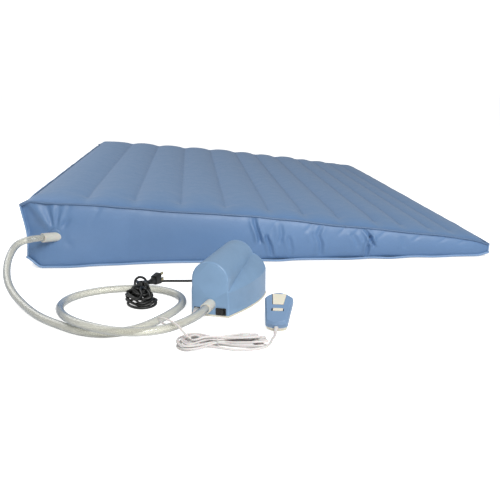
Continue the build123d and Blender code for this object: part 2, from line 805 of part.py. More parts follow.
# ---------------------------------------------------------------- hand-control cord
# from the jack, over the air hose and down to the bundle
handset_path = [at_pump(JACK_X, y, JACK_Z) for y in (-3.6, -8, -13)] + [
    at_pump(JACK_X, -20, JACK_Z - 1.5),
    (-200, -1160, 5), (-222, -1180, 6), (-240, -1203, 21), (-241, -1229, 38.5),
    (-225, -1247, 41), (-207, -1262, 34), (-196, -1275, 25),
]
handset_cord = swept_cord([handset_path], 14, THIN_R)


def handset_loop(k, left, right, z, shift):
    """Points of loop k, pinched at x = -141; left and right are its half widths each side."""
    y = -1272 + shift
    return [
        (-141, y + 3, z), (-172, y + left * 0.7, z), (-200, y + left * 0.9, z),
        (-211, y, z), (-200, y - left, z), (-172, y - left * 0.8, z),
        (-141, y - 3, z), (-108, y - right, z), (-80, y - right, z),
        (-68 - k * 3, y, z), (-80, y + right, z), (-108, y + right, z),
    ]


# loops from the bottom up: left, right, z, shift along Y
HANDSET_LOOPS = [(22, 14, 2.9, 0), (24, 12, 7.0, -1), (20, 10, 11.1, 1), (16, 7, 15.2, 0)]
handset_cord_bundle = swept_cord(
    [handset_loop(k, *loop) for k, loop in enumerate(HANDSET_LOOPS)], 14, THIN_R, closed=True
)
handset_cord_tie = cord_tie(
    Plane(origin=(-141, -1272, 9.2), x_dir=(0, 1, 0), z_dir=(1, 0, 0)),
    outer=(18, 18.2, 3), inner=(15.8, 16.9, 2.2),
)

# ---------------------------------------------------------------- hand control
# flat lies on the floor; hand is tipped up from it about its X. Near end at y = 0.
flat = Plane(origin=HANDSET_AT, x_dir=(1, 0, 0), z_dir=(0, 0, 1)).rotated((0, 0, HANDSET_YAW))
tilt = math.radians(HANDSET_TILT)
hand = Plane(
    origin=HANDSET_AT,
    x_dir=flat.x_dir,
    z_dir=flat.z_dir * math.cos(tilt) - flat.y_dir * math.sin(tilt),
)
SPLIT_Z, FACE_Z = 7.5, 21.5   # joint between the shells, and the button face
TOP_Z0 = SPLIT_Z + 0.2
BUTTON_Z0 = 13.2
HANDSET_POSTS = [(-16, 22), (16, 22)]
HOOK = HOOK_Y, HOOK_Z = 62, -15.3

relief = Plane(
    origin=hand.from_local_coords((0, 6.5, 8.2)),
    x_dir=hand.x_dir,
    z_dir=(-flat.y_dir - Vector(0, 0, 0.30)).normalized(),
)


def fan_outline(near_x, near_y, far_x, far_y, far_crown, near_crown):
    """Fan shape with bowed ends, drawn into the current BuildLine."""
    Line((-near_x, near_y), (-far_x, far_y))
    ThreePointArc((-far_x, far_y), (0, far_crown), (far_x, far_y))
    Line((far_x, far_y), (near_x, near_y))
    ThreePointArc((near_x, near_y), (0, near_crown), (-near_x, near_y))


def round_fan(far_radius, near_radius):
    """Round the far, then the near corners of the current sketch."""
    fillet(vertices().sort_by(Axis.Y)[-2:], far_radius)
    fillet(vertices().sort_by(Axis.Y)[:2], near_radius)


def face_edges(builder):
    """Edges of the face furthest out along the hand control's normal."""
    outward = Axis(hand.from_local_coords((0, 0, 0)), tuple(hand.z_dir))
    return builder.faces().sort_by(outward)[-1].edges()


with BuildPart() as hand_outer:
    # sides drawn in towards the face
    for z, inset in ((TOP_Z0, 0.0), (16.0, 0.6), (FACE_Z, 4.0)):
        with BuildSketch(hand.offset(z)):
            with BuildLine():
                fan_outline(
                    20.5 - inset, 5 + inset, 27.8 - inset, 69 - inset, 81 - inset, 0.2 + inset
                )
            make_face()
            round_fan(10 - inset, 4.5 - inset / 2)
    loft(ruled=True)

with BuildPart() as handset_top:
    add(hand_outer.part)
    fillet(face_edges(handset_top), 1.2)
    # inside hollow
    with BuildSketch(hand.offset(TOP_Z0)):
        with BuildLine():
            fan_outline(17, 8, 23.5, 67, 77, 4)
        make_face()
    extrude(amount=11.3, mode=Mode.SUBTRACT)
    # button wells through the face
    with BuildSketch(hand.offset(SPLIT_Z)):
        with BuildLine():
            Polyline((-13.6, 74.3), (14.2, 74.3), (10.2, 46.6), (-10.8, 46.6), (-13.6, 74.3))
        make_face()
        with Locations((0, 34.0)):
            Rectangle(23.0, 7.0)
    extrude(amount=30, mode=Mode.SUBTRACT)
    # notch for the strain relief
    with BuildSketch(relief.offset(-4)):
        Circle(4.3)
    extrude(amount=22, mode=Mode.SUBTRACT)

# z, fan outline, far and near corner radii
BOTTOM_STATIONS = [
    (0, (18.6, 5, 24.5, 67, 77.6, 0.2), (8.5, 4)),
    (SPLIT_Z, (19.8, 5, 26.8, 68.6, 80, -0.6), (9.5, 4.5)),
]
hook_plane = Plane(
    origin=hand.from_local_coords((0, 0, 0)),
    x_dir=hand.y_dir,
    z_dir=hand.y_dir.cross(hand.z_dir),
)
hook_gap = math.radians(32)   # the hook's open end, from straight down
with BuildPart() as handset_bottom:
    for z, outline, corners in BOTTOM_STATIONS:
        with BuildSketch(hand.offset(z)):
            with BuildLine():
                fan_outline(*outline)
            make_face()
            round_fan(*corners)
    loft()
    # inside hollow
    with BuildSketch(hand.offset(2.2)):
        with BuildLine():
            fan_outline(16, 8, 22.4, 66, 75.6, 4)
        make_face()
        round_fan(7, 2)
    extrude(amount=10, mode=Mode.SUBTRACT)
    # board and screw posts
    with BuildSketch(hand.offset(2.0)):
        with Locations(*HANDSET_POSTS, (0, 70.5)):
            Circle(2.6)
    extrude(amount=4.2)
    # hook on the back: a ring cut open on its near side, with a root block
    with BuildSketch(hook_plane):
        with Locations(HOOK):
            Circle(15.5)
            Circle(12.2, mode=Mode.SUBTRACT)
        with BuildLine():
            Polyline(
                (HOOK_Y, 10),
                (HOOK_Y - 60, 10),
                (HOOK_Y - 60, HOOK_Z - 22),
                (HOOK_Y - 40 * math.sin(hook_gap), HOOK_Z - 40 * math.cos(hook_gap)),
                HOOK,
                (HOOK_Y, 10),
            )
        make_face(mode=Mode.SUBTRACT)
        with Locations((60, 0.6)):
            Rectangle(8, 2.4)
    extrude(amount=7, both=True)
    # notch for the strain relief
    with BuildSketch(relief.offset(-4)):
        Circle(4.3)
    extrude(amount=22, mode=Mode.SUBTRACT)
    # screw holes
    with BuildSketch(hand.offset(-1)):
        with Locations(*HANDSET_POSTS):
            Circle(1.3)
    extrude(amount=9, mode=Mode.SUBTRACT)

handset_screws = cross_screws(
    hand.offset(-1.3), HANDSET_POSTS,
    head_r=2.3, head_h=1.2, shank_r=1.2, length=7, slot_l=2.8, slot_w=0.6,
)

# board with a square block under each button
with BuildPart() as handset_board:
    with BuildSketch(hand.offset(6.3)):
        with BuildLine():
            Polyline((-13.5, 18), (-19.5, 64), (19.5, 64), (13.5, 18), (-13.5, 18))
        make_face()
    extrude(amount=1.2)
    with BuildSketch(hand.offset(7.5)):
        with Locations((0, 34), (0, 60)):
            Rectangle(6, 6)
    extrude(amount=3.5)

with BuildPart() as inflate_button:
    with BuildSketch(hand.offset(BUTTON_Z0)):
        with BuildLine():
            Polyline((-12.6, 73.9), (13.8, 73.9), (9.9, 47.0), (-9.9, 47.0), (-12.6, 73.9))
        make_face()
    extrude(amount=9.6)
    fillet(face_edges(inflate_button), 1.4)

with BuildPart() as deflate_button:
    with BuildSketch(hand.offset(BUTTON_Z0)):
        with Locations((0.6, 34.0)):
            Rectangle(18.6, 6.6)
    extrude(amount=9.8)
    fillet(face_edges(deflate_button), 1.2)

with BuildPart() as handset_strain_relief:
    with BuildSketch(relief):
        Circle(4.1)
    extrude(amount=8.5)
    for offset_z, radius in ((8.4, 4.1), (24, 2.8)):
        with BuildSketch(relief.offset(offset_z)):
            Circle(radius)
    loft()
    with BuildSketch(relief.offset(26)):
        Circle(THIN_R + 0.4)
    extrude(amount=-24, mode=Mode.SUBTRACT)

# from the strain relief round to the bundle
tail_path = [relief.from_local_coords((0, 0, z)) for z in (4, 12, 20, 26)] + [
    (-43, -1256, 2.3), (-48, -1272, 2.0), (-58, -1289, 2.1), (-78, -1298, 2.1),
    (-100, -1299.5, 2.1), (-122, -1296, 3), (-138, -1290, 4), (-146, -1286, 4),
]
handset_cord_tail = swept_cord([tail_path], 14, THIN_R)

# ---------------------------------------------------------------- write every piece
PIECES = {
    "base_panel": base_panel, "top_panel": top_panel,
    "near_gusset": near_gusset, "far_gusset": far_gusset,
    "head_gusset": head_gusset, "foot_gusset": foot_gusset,
    "baffle_webs": baffle_webs, "top_welt": top_welt,
    "base_welt": base_welt, "corner_welts": corner_welts,
    "port_patch": port_patch, "port_flange": port_flange,
    "port_collar": port_collar, "air_hose": air_hose,
    "pump_cover": pump_cover, "pump_base": pump_base,
    "pump_feet": pump_feet, "case_screws": case_screws,
    "outlet_collar": outlet_collar, "valve_body": valve_body,
    "valve_plunger": valve_plunger, "valve_solenoid": valve_solenoid,
    "outlet_duct": outlet_duct, "blower_housing": blower_housing,
    "impeller": impeller, "motor_shaft": motor_shaft,
    "motor_mount": motor_mount, "motor_body": motor_body,
    "circuit_board": circuit_board, "switch_frame": switch_frame,
    "rocker": rocker, "jack_socket": jack_socket,
    "modular_plug": modular_plug, "cord_strain_relief": cord_strain_relief,
    "mains_cord": mains_cord, "mains_cord_bundle": mains_cord_bundle,
    "mains_cord_tie": mains_cord_tie, "plug_body": plug_body,
    "plug_blades": plug_blades, "handset_cord": handset_cord,
    "handset_cord_bundle": handset_cord_bundle, "handset_cord_tie": handset_cord_tie,
    "handset_top": handset_top, "handset_bottom": handset_bottom,
    "handset_screws": handset_screws, "handset_board": handset_board,
    "inflate_button": inflate_button, "deflate_button": deflate_button,
    "handset_strain_relief": handset_strain_relief, "handset_cord_tail": handset_cord_tail,
}
for name, piece in PIECES.items():
    piece.part.label = name
    export_step(piece.part, f"parts/{name}.step")
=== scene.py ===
# An inflated wedge-shaped bladder with its air pump, clear hose, mains cord and wired hand
# control, all on the floor at z = 0. The bladder is centred on the origin: its tall head end
# is at -X, its low foot end at +X, and its near side, with the air port, at -Y. The pump and
# the hand control stand beyond the near side. Their CAD pieces only get materials; the
# bladder, the hose and the cords are built anew here.
import math
import bpy
import bmesh
import numpy as np
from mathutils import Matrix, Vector


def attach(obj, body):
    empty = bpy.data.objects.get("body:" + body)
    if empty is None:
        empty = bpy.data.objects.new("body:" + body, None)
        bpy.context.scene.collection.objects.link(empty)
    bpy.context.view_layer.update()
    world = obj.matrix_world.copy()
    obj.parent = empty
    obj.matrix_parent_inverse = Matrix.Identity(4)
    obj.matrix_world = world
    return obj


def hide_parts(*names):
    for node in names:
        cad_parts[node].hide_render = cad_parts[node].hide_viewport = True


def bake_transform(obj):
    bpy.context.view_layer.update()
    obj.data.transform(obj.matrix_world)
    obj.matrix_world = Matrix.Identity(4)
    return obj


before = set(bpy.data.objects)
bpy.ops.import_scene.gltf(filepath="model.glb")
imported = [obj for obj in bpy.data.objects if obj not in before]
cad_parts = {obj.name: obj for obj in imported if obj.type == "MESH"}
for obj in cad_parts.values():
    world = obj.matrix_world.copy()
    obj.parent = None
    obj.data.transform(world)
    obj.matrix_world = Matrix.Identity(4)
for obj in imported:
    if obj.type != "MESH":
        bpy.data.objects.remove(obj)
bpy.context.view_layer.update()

MM = 0.001

# ---------------------------------------------------------------- sizes, metres
LENGTH, WIDTH = 1.160, 1.473
HEAD_HEIGHT, FOOT_HEIGHT = 0.171, 0.0520
HALF_LENGTH, HALF_WIDTH = LENGTH / 2, WIDTH / 2
SLOPE = (HEAD_HEIGHT - FOOT_HEIGHT) / LENGTH
# the cross seams of the top: their places along X, and where they stop along Y
SEAMS = np.array([-438, -323, -208, -96, 16, 106, 198, 294, 364, 438, 497]) * MM
SEAM_MARGIN = 0.066
SEAM_END = HALF_WIDTH - SEAM_MARGIN
GUSSET_FOOT = 0.0070  # height of the gussets' lower edge
PORT = np.array([-0.5085, -0.7460, 0.0785])  # centre of the air port

# How far the blown-up top stands off the straight slope, as (x, rise) in mm:
# along the two long edges, and along the middle.
EDGE_RISE = np.array([
    (-575, -13.5), (-567, -7.5), (-558, -2.5), (-529, -3.5), (-494, -2.8), (-459, -0.8),
    (-389, 0.6), (-317, 0.4), (-245, 1.2), (-173, 2.6), (-87, 4.8), (-18, 5.6), (87, 3.8),
    (163, 0.8), (252, 0.4), (291, 0.4), (395, -2.8), (473, -3.4), (535, -7.5), (560, -12.0),
    (575, -15.5)]) * MM
MIDDLE_RISE = np.array([
    (-575, -9.0), (-555, -4.0), (-493, 3.0), (-427, 6.0), (-361, 8.5), (-295, 10.0),
    (-228, 11.0), (-161, 11.5), (-94, 11.5), (-27, 11.0), (41, 10.5), (109, 9.0), (178, 8.0),
    (246, 7.5), (316, 6.0), (385, 3.5), (455, 0.0), (520, -5.5), (554, -11.0),
    (575, -14.5)]) * MM

MAINS_CORD_R = 0.0027
HOSE_R, HOSE_BORE_R, HOSE_SIDES = 0.0080, 0.0060, 28
TAIL_SIDES = 12

# ---------------------------------------------------------------- curves and falloffs


def rise(value, start, span):
    """Smooth step from 0 at start to 1 at start + span."""
    t = np.clip((value - start) / span, 0, 1)
    return t * t * (3 - 2 * t)


def fall(value, start, span):
    return 1 - rise(value, start, span)


def bell(distance, width):
    return np.exp(-(distance / width) ** 2)


def ease_out(t):
    """Parabola from 0 to 1 that arrives level; its square root is a quarter circle."""
    return 1 - (1 - np.clip(t, 0, 1)) ** 2


def unit(vector):
    vector = np.array(vector, float)
    return vector / np.linalg.norm(vector)


def in_mm(*points):
    return [np.array(point) * MM for point in points]


def run_lengths(path):
    """Distance along the path at each of its points."""
    return np.r_[0, np.cumsum(np.linalg.norm(np.diff(path, axis=0), axis=1))]


def spline(points, step, closed=False):
    """Cubic through the points by chord length, sampled every step; natural ends or periodic."""
    points = np.array(points, float)
    if closed:
        points = np.vstack([points[-3:], points, points[:3]])
    knots = run_lengths(points)
    count = len(points)
    gaps = np.diff(knots)
    matrix = np.zeros((count, count))
    right = np.zeros((count, points.shape[1]))
    matrix[0, 0] = matrix[-1, -1] = 1
    for i in range(1, count - 1):
        before, after = gaps[i - 1], gaps[i]
        matrix[i, i - 1:i + 2] = before, 2 * (before + after), after
        right[i] = 6 * ((points[i + 1] - points[i]) / after - (points[i] - points[i - 1]) / before)
    bend = np.linalg.solve(matrix, right)
    first, last = (knots[3], knots[-3]) if closed else (knots[0], knots[-1])
    samples = max(4, int(round((last - first) / step)))
    t = np.linspace(first, last, samples + 1)
    if closed:
        t = t[:-1]
    i = np.clip(np.searchsorted(knots, t, side="right") - 1, 0, count - 2)
    gap = gaps[i][:, None]
    past = (t - knots[i])[:, None]
    left = (knots[i + 1] - t)[:, None]
    return ((bend[i] * left ** 3 + bend[i + 1] * past ** 3) / (6 * gap)
            + (points[i] / gap - bend[i] * gap / 6) * left
            + (points[i + 1] / gap - bend[i + 1] * gap / 6) * past)


# ---------------------------------------------------------------- mesh helpers


def shade_smooth(ob):
    ob.data.polygons.foreach_set("use_smooth", [True] * len(ob.data.polygons))


def new_mesh(name, verts, faces, smooth=True):
    mesh = bpy.data.meshes.new(name)
    mesh.from_pydata([tuple(map(float, v)) for v in verts], [], [tuple(map(int, f)) for f in faces])
    mesh.update()
    ob = bpy.data.objects.new(name, mesh)
    if smooth:
        shade_smooth(ob)
    bpy.context.scene.collection.objects.link(ob)
    return ob


def face_outwards(ob):
    bm = bmesh.new()
    bm.from_mesh(ob.data)
    bmesh.ops.recalc_face_normals(bm, faces=bm.faces)
    bm.to_mesh(ob.data)
    bm.free()
    shade_smooth(ob)


def grid_faces(rows, columns, flip=False):
    faces = []
    for i in range(rows - 1):
        for j in range(columns - 1):
            a, b = i * columns + j, (i + 1) * columns + j
            quad = [a, b, b + 1, a + 1]
            faces.append(quad[::-1] if flip else quad)
    return faces


def grid_sheet(name, x, y, z, flip=False):
    verts = np.stack([x.ravel(), y.ravel(), z.ravel()], 1)
    return new_mesh(name, verts, grid_faces(*x.shape, flip))


def border(rows, columns):
    """True on the outer vertices of a grid."""
    mask = np.zeros((rows, columns), bool)
    mask[[0, -1]] = True
    mask[:, [0, -1]] = True
    return mask


def tube(name, path, radius, sides, closed=False, bore=None):
    """A tube along the path; bore is the inner radius of a hollow one."""
    path = np.array(path, float)
    count = len(path)
    if closed:
        tangents = np.roll(path, -1, 0) - np.roll(path, 1, 0)
    else:
        tangents = np.gradient(path, axis=0)
    tangents /= np.linalg.norm(tangents, axis=1)[:, None]
    start = tangents[0]
    normal = np.array([0, 0, 1.0])
    if abs(start @ normal) > 0.9:
        normal = np.array([1.0, 0, 0])
    normals = []
    for tangent in tangents:
        normal = unit(normal - (normal @ tangent) * tangent)
        normals.append(normal)
    sideways = np.cross(tangents, normals)
    twist = 0.0
    if closed:
        # what the carried normal has turned by, given back evenly along the loop
        end = normals[-1] - (normals[-1] @ start) * start
        twist = math.atan2(end @ sideways[0], end @ normals[0])
    angles = np.linspace(0, 2 * math.pi, sides, endpoint=False)
    verts, faces = [], []

    def skin(skin_radius, flip):
        first = len(verts)
        for i in range(count):
            for a in angles - twist * i / count:
                verts.append(path[i] + skin_radius * (math.cos(a) * normals[i]
                                                      + math.sin(a) * sideways[i]))
        for i in range(count if closed else count - 1):
            here, there = first + i * sides, first + (i + 1) % count * sides
            for k in range(sides):
                after = (k + 1) % sides
                quad = [here + k, here + after, there + after, there + k]
                faces.append(quad[::-1] if flip else quad)
        return first

    outer = skin(radius, True)
    if bore:
        inner = skin(bore, False)
        for ring, flip in ((0, False), (count - 1, True)):
            here, there = outer + ring * sides, inner + ring * sides
            for k in range(sides):
                after = (k + 1) % sides
                quad = [here + k, here + after, there + after, there + k]
                faces.append(quad[::-1] if flip else quad)
    elif not closed:
        faces.append([outer + k for k in range(sides)])
        faces.append([outer + (count - 1) * sides + k for k in range(sides)][::-1])
    ob = new_mesh(name, verts, faces)
    face_outwards(ob)
    return ob


def join(name, obs):
    for ob in bpy.context.selected_objects:
        ob.select_set(False)
    for ob in obs:
        ob.select_set(True)
    bpy.context.view_layer.objects.active = obs[0]
    bpy.ops.object.join()
    obs[0].name = name
    obs[0].data.name = name
    return obs[0]


def verts_of(ob):
    flat = np.zeros(len(ob.data.vertices) * 3, np.float32)
    ob.data.vertices.foreach_get("co", flat)
    return flat.reshape(-1, 3).astype(float)


def put_verts(ob, verts):
    ob.data.vertices.foreach_set("co", np.asarray(verts, np.float32).ravel())
    ob.data.update()


def set_seam_shade(ob, values=None):
    """Painted shade along the seams, 0 to 1 per vertex, kept in the seam attribute; none by
    default.
    """
    if values is None:
        values = np.zeros(len(ob.data.vertices))
    attribute = ob.data.attributes.new("seam", "FLOAT", "POINT")
    attribute.data.foreach_set("value", np.asarray(values, np.float32))


def apply_modifier(ob, modifier):
    bpy.context.view_layer.objects.active = ob
    bpy.ops.object.modifier_apply(modifier=modifier.name)


def subdivide(ob, creased=None):
    """One level of subdivision; edges between two of the creased vertices stay sharp."""
    if creased is not None:
        attribute = ob.data.attributes.new("crease_edge", "FLOAT", "EDGE")
        attribute.data.foreach_set("value", [
            float(e.vertices[0] in creased and e.vertices[1] in creased) for e in ob.data.edges])
    modifier = ob.modifiers.new("sub", "SUBSURF")
    modifier.levels = modifier.render_levels = 1
    modifier.boundary_smooth = "ALL"
    apply_modifier(ob, modifier)


# ---------------------------------------------------------------- material helpers


def linear(srgb):
    """Linear RGBA from 0 to 255 sRGB."""
    out = []
    for value in srgb:
        value = value / 255.0
        out.append(value / 12.92 if value <= 0.04045 else ((value + 0.055) / 1.055) ** 2.4)
    return tuple(out) + (1.0,)


def scaled(color, factor):
    return tuple(min(1.0, value * factor) for value in color[:3]) + (1.0,)


class Shader:
    """A material's node tree, with one short method per kind of node."""

    def __init__(self, name):
        self.material = bpy.data.materials.new(name)
        self.material.use_nodes = True
        self.tree = self.material.node_tree
        self.surface = self.tree.nodes["Principled BSDF"]
        self.output = self.tree.nodes["Material Output"]

    def feed(self, node, inputs):
        """Links each input to a socket, or gives it a plain value."""
        for key, value in inputs.items():
            if isinstance(value, bpy.types.NodeSocket):
                self.tree.links.new(value, node.inputs[key])
            else:
                node.inputs[key].default_value = value

    def node(self, kind, inputs={}, **props):
        node = self.tree.nodes.new(kind)
        for key, value in props.items():
            setattr(node, key, value)
        self.feed(node, inputs)
        return node

    def paint(self, inputs):
        self.feed(self.surface, inputs)

    def coords(self):
        return self.node("ShaderNodeTexCoord").outputs["Object"]

    def facing(self, blend):
        return self.node("ShaderNodeLayerWeight", {"Blend": blend}).outputs["Facing"]

    def noise(self, coords, scale, detail=3.0, rough=0.55, distortion=0.0):
        return self.node("ShaderNodeTexNoise", {
            "Vector": coords, "Scale": scale, "Detail": detail, "Roughness": rough,
            "Distortion": distortion}).outputs["Fac"]

    def ramp(self, fac, stops):
        """stops are (position, colour)."""
        node = self.node("ShaderNodeValToRGB", {"Fac": fac})
        elements = node.color_ramp.elements
        elements[0].position, elements[0].color = stops[0]
        elements[1].position, elements[1].color = stops[-1]
        for position, color in stops[1:-1]:
            elements.new(position).color = color
        return node.outputs["Color"]

    def remap(self, value, given, to):
        return self.node("ShaderNodeMapRange", {
            "Value": value, "From Min": given[0], "From Max": given[1],
            "To Min": to[0], "To Max": to[1]}).outputs["Result"]

    def math(self, operation, *values):
        return self.node("ShaderNodeMath", dict(enumerate(values)), operation=operation).outputs[0]

    def mix(self, fac, under, over):
        return self.node("ShaderNodeMix", {0: fac, 6: under, 7: over},
                         data_type="RGBA", blend_type="MIX").outputs[2]

    def bump(self, height, strength, distance, under=None):
        inputs = {"Strength": strength, "Distance": distance, "Height": height}
        if under is not None:
            inputs["Normal"] = under
        return self.node("ShaderNodeBump", inputs).outputs["Normal"]


# ---------------------------------------------------------------- materials
THREAD_WAVE = 6981.0  # radians per metre, a thread pitch of 0.9 mm


def fabric(name, srgb, painted_sheen_color=(104, 138, 177), rough=0.5, seam_shade=0.38):
    """Coated nylon: fine plain weave, soft handling marks, and painted shade along the seams where
    the seam attribute says.
    Its second colour is a painted sheen: the colour it turns to at a grazing angle, standing in for
    reflected light."""
    m = Shader(name)
    base = linear(srgb)
    coords = m.coords()
    clouds = m.noise(coords, scale=5.0, detail=4.0, rough=0.6, distortion=0.4)
    marks = m.noise(coords, scale=34.0, detail=4.0, rough=0.6, distortion=0.6)
    fine = m.noise(coords, scale=420.0, detail=2.0, rough=0.6)
    x, y, z = m.node("ShaderNodeSeparateXYZ", {0: coords}).outputs

    def thread(axis, lean):
        """A thread wave along the axis; z stands in on the upright faces, by lean."""
        along = m.math("ADD", axis, m.math("MULTIPLY", z, lean))
        return m.math("SINE", m.math("MULTIPLY", along, THREAD_WAVE))

    weave = m.math("MULTIPLY", thread(x, lean=0.15), thread(y, lean=0.9))
    color = m.ramp(clouds, [(0.30, scaled(base, 0.93)), (0.52, base), (0.75, scaled(base, 1.06))])
    # painted sheen: towards a grazing angle the colour is mixed to the given sheen colour
    grazing = m.remap(m.facing(blend=0.5), given=(0.40, 0.82), to=(0.0, 0.85))
    color = m.mix(grazing, color, linear(painted_sheen_color))
    color = m.mix(m.remap(marks, given=(0.3, 0.7), to=(0.0, 0.10)), color, scaled(base, 0.80))
    color = m.mix(m.remap(fine, given=(0.35, 0.65), to=(0.0, 0.12)), color, scaled(base, 1.25))
    # painted shade: the seam attribute darkens the cloth along seams and welts
    seam = m.node("ShaderNodeAttribute", attribute_name="seam").outputs["Fac"]
    color = m.mix(m.math("MULTIPLY", seam, seam_shade), color, scaled(base, 0.25))
    m.paint({
        "Base Color": color,
        "Roughness": m.remap(marks, given=(0.3, 0.7), to=(rough - 0.06, rough + 0.08)),
        "Specular IOR Level": 0.75,
        "Sheen Weight": 0.10,
        "Sheen Roughness": 0.4,
        "Sheen Tint": (0.8, 0.86, 0.95, 1)})
    normal = m.bump(weave, strength=0.12, distance=0.00012)
    normal = m.bump(marks, strength=0.16, distance=0.0016, under=normal)
    normal = m.bump(fine, strength=0.10, distance=0.0002, under=normal)
    m.paint({"Normal": normal})
    return m.material


def plastic(name, srgb, rough=0.38, grain=900.0, grain_depth=0.00005, wear_and_edge_highlight=0.10,
            variation=0.05, subsurface=0.0):
    """Moulded plastic: fine grain, faint flow variation, paler convex edges, partly wear and partly
    a painted highlight.
    """
    m = Shader(name)
    base = linear(srgb)
    coords = m.coords()
    clouds = m.noise(coords, scale=22.0, detail=4.0, rough=0.6, distortion=0.3)
    grains = m.noise(coords, scale=grain, detail=2.0, rough=0.6)
    smears = m.noise(coords, scale=90.0, detail=5.0, rough=0.65, distortion=1.2)
    color = m.ramp(clouds, [(0.3, scaled(base, 1 - variation)), (0.7, scaled(base, 1 + variation))])
    # paler convex edges: partly wear, partly a painted highlight along the edges
    pointed = m.node("ShaderNodeNewGeometry").outputs["Pointiness"]
    color = m.mix(m.remap(pointed, given=(0.52, 0.60), to=(0.0, wear_and_edge_highlight)), color, scaled(base, 1.7))
    m.paint({
        "Base Color": color,
        "Roughness": m.remap(smears, given=(0.3, 0.75), to=(rough - 0.05, rough + 0.09)),
        "Normal": m.bump(grains, strength=0.22, distance=grain_depth)})
    if subsurface:
        m.paint({"Subsurface Weight": subsurface, "Subsurface Scale": 0.003})
    return m.material


def metal(name, rgb, rough=0.3):
    """Metal with brush marks drawn across Z, from linear rgb."""
    m = Shader(name)
    stretched = m.node("ShaderNodeMapping", {"Vector": m.coords(), "Scale": (1, 1, 40)})
    brushing = m.noise(stretched.outputs[0], scale=260.0, detail=3.0, rough=0.6)
    m.paint({
        "Base Color": m.ramp(brushing, [(0.3, scaled(rgb, 0.86)), (0.7, scaled(rgb, 1.08))]),
        "Metallic": 1.0,
        "Roughness": m.remap(brushing, given=(0.3, 0.7), to=(rough - 0.06, rough + 0.1)),
        "Normal": m.bump(brushing, strength=0.12, distance=0.00004)})
    return m.material


def vinyl(name):
    """Clear hose: see-through in the middle, cloudy beige wall, painted blue-grey reflection
    towards its edges.
    """
    m = Shader(name)
    clouds = m.noise(m.coords(), scale=16.0, detail=3.0, rough=0.55, distortion=0.6)
    facing = m.facing(blend=0.42)
    # painted reflection: the colour turns blue-grey towards the tube's edges, where the view grazes
    # the wall
    color = m.ramp(facing, [
        (0.0, linear((226, 224, 214))), (0.45, linear((206, 207, 202))),
        (0.70, linear((158, 167, 176))), (0.86, linear((104, 122, 146))),
        (1.0, linear((92, 110, 136)))])
    cloudy = m.remap(clouds, given=(0.35, 0.7), to=(0.0, 0.12))
    m.paint({
        "Base Color": m.mix(cloudy, color, linear((182, 182, 174))),
        "Roughness": 0.12,
        "Specular IOR Level": 0.6,
        "Coat Weight": 0.4,
        "Coat Roughness": 0.08})
    see_through = m.node("ShaderNodeBsdfTransparent", {"Color": (0.93, 0.93, 0.90, 1)})
    mixer = m.node("ShaderNodeMixShader")
    body = m.remap(facing, given=(0.05, 0.85), to=(0.22, 0.90))
    haze = m.remap(clouds, given=(0.35, 0.75), to=(-0.03, 0.05))
    m.feed(mixer, {
        "Fac": m.math("ADD", body, haze),
        1: see_through.outputs[0],
        2: m.surface.outputs[0]})
    m.feed(m.output, {"Surface": mixer.outputs[0]})
    m.paint({"Normal": m.bump(clouds, strength=0.06, distance=0.0004)})
    return m.material


def clear_moulding(name):
    """Half-clear plastic, faintly clouded."""
    m = Shader(name)
    # the plain colour stays behind the linked one
    m.paint({"Base Color": linear((226, 228, 226)), "Roughness": 0.1, "Alpha": 0.55})
    clouds = m.noise(m.coords(), scale=160.0)
    m.paint({
        "Normal": m.bump(clouds, strength=0.1, distance=0.0002),
        "Base Color": m.ramp(clouds, [
            (0.3, linear((206, 210, 210))), (0.7, linear((236, 236, 232)))])})
    return m.material


LOOKS = {
    "blue": fabric("blue_fabric", (91, 125, 167)),
    # the welt's darkness is painted shade, from its seam_shade and the seam attribute
    "welt": fabric("dark_welt", (92, 124, 164), seam_shade=0.65, painted_sheen_color=(106, 136, 172)),
    "rim": fabric("pale_welt", (118, 150, 188), seam_shade=0.0, painted_sheen_color=(120, 150, 184)),
    "web": fabric("inner_web", (150, 164, 186), seam_shade=0.0, rough=0.7),
    "pump": plastic("blue_shell", (119, 149, 180), rough=0.40, wear_and_edge_highlight=0.22, grain=700.0,
                    grain_depth=0.00007),
    "hand": plastic("blue_shell_fine", (114, 141, 173), rough=0.36, wear_and_edge_highlight=0.18, grain=1100.0),
    "cream": plastic("cream_shell", (212, 207, 190), rough=0.34, variation=0.04, subsurface=0.1),
    "collar": plastic("cream_collar", (203, 201, 190), rough=0.36, subsurface=0.1),
    "black": plastic("black_shell", (24, 24, 24), rough=0.34, wear_and_edge_highlight=0.25, variation=0.15),
    "cord_black": plastic("black_cord", (22, 23, 22), rough=0.45, wear_and_edge_highlight=0.0, variation=0.2,
                          grain=500.0, grain_depth=0.0001),
    "cord_white": plastic("white_cord", (208, 204, 202), rough=0.42, wear_and_edge_highlight=0.0, variation=0.06,
                          grain=500.0, grain_depth=0.0001, subsurface=0.1),
    "grey": plastic("grey_moulding", (92, 94, 98), rough=0.5, wear_and_edge_highlight=0.15, variation=0.08),
    "rubber": plastic("foot_rubber", (30, 30, 31), rough=0.75, wear_and_edge_highlight=0.0, variation=0.1,
                      grain=600.0, grain_depth=0.0002),
    "board": plastic("board_green", (28, 96, 54), rough=0.35, wear_and_edge_highlight=0.0, variation=0.12),
    "steel": metal("brushed_steel", (0.60, 0.60, 0.60)),
    "brass": metal("blade_brass", (0.66, 0.58, 0.36), rough=0.22),
    "vinyl": vinyl("clear_vinyl"),
    # a spare: no piece wears it
    "mark": plastic("mark_grey", (150, 152, 150), rough=0.5, wear_and_edge_highlight=0.0),
    "clear": clear_moulding("clear_moulding"),
}

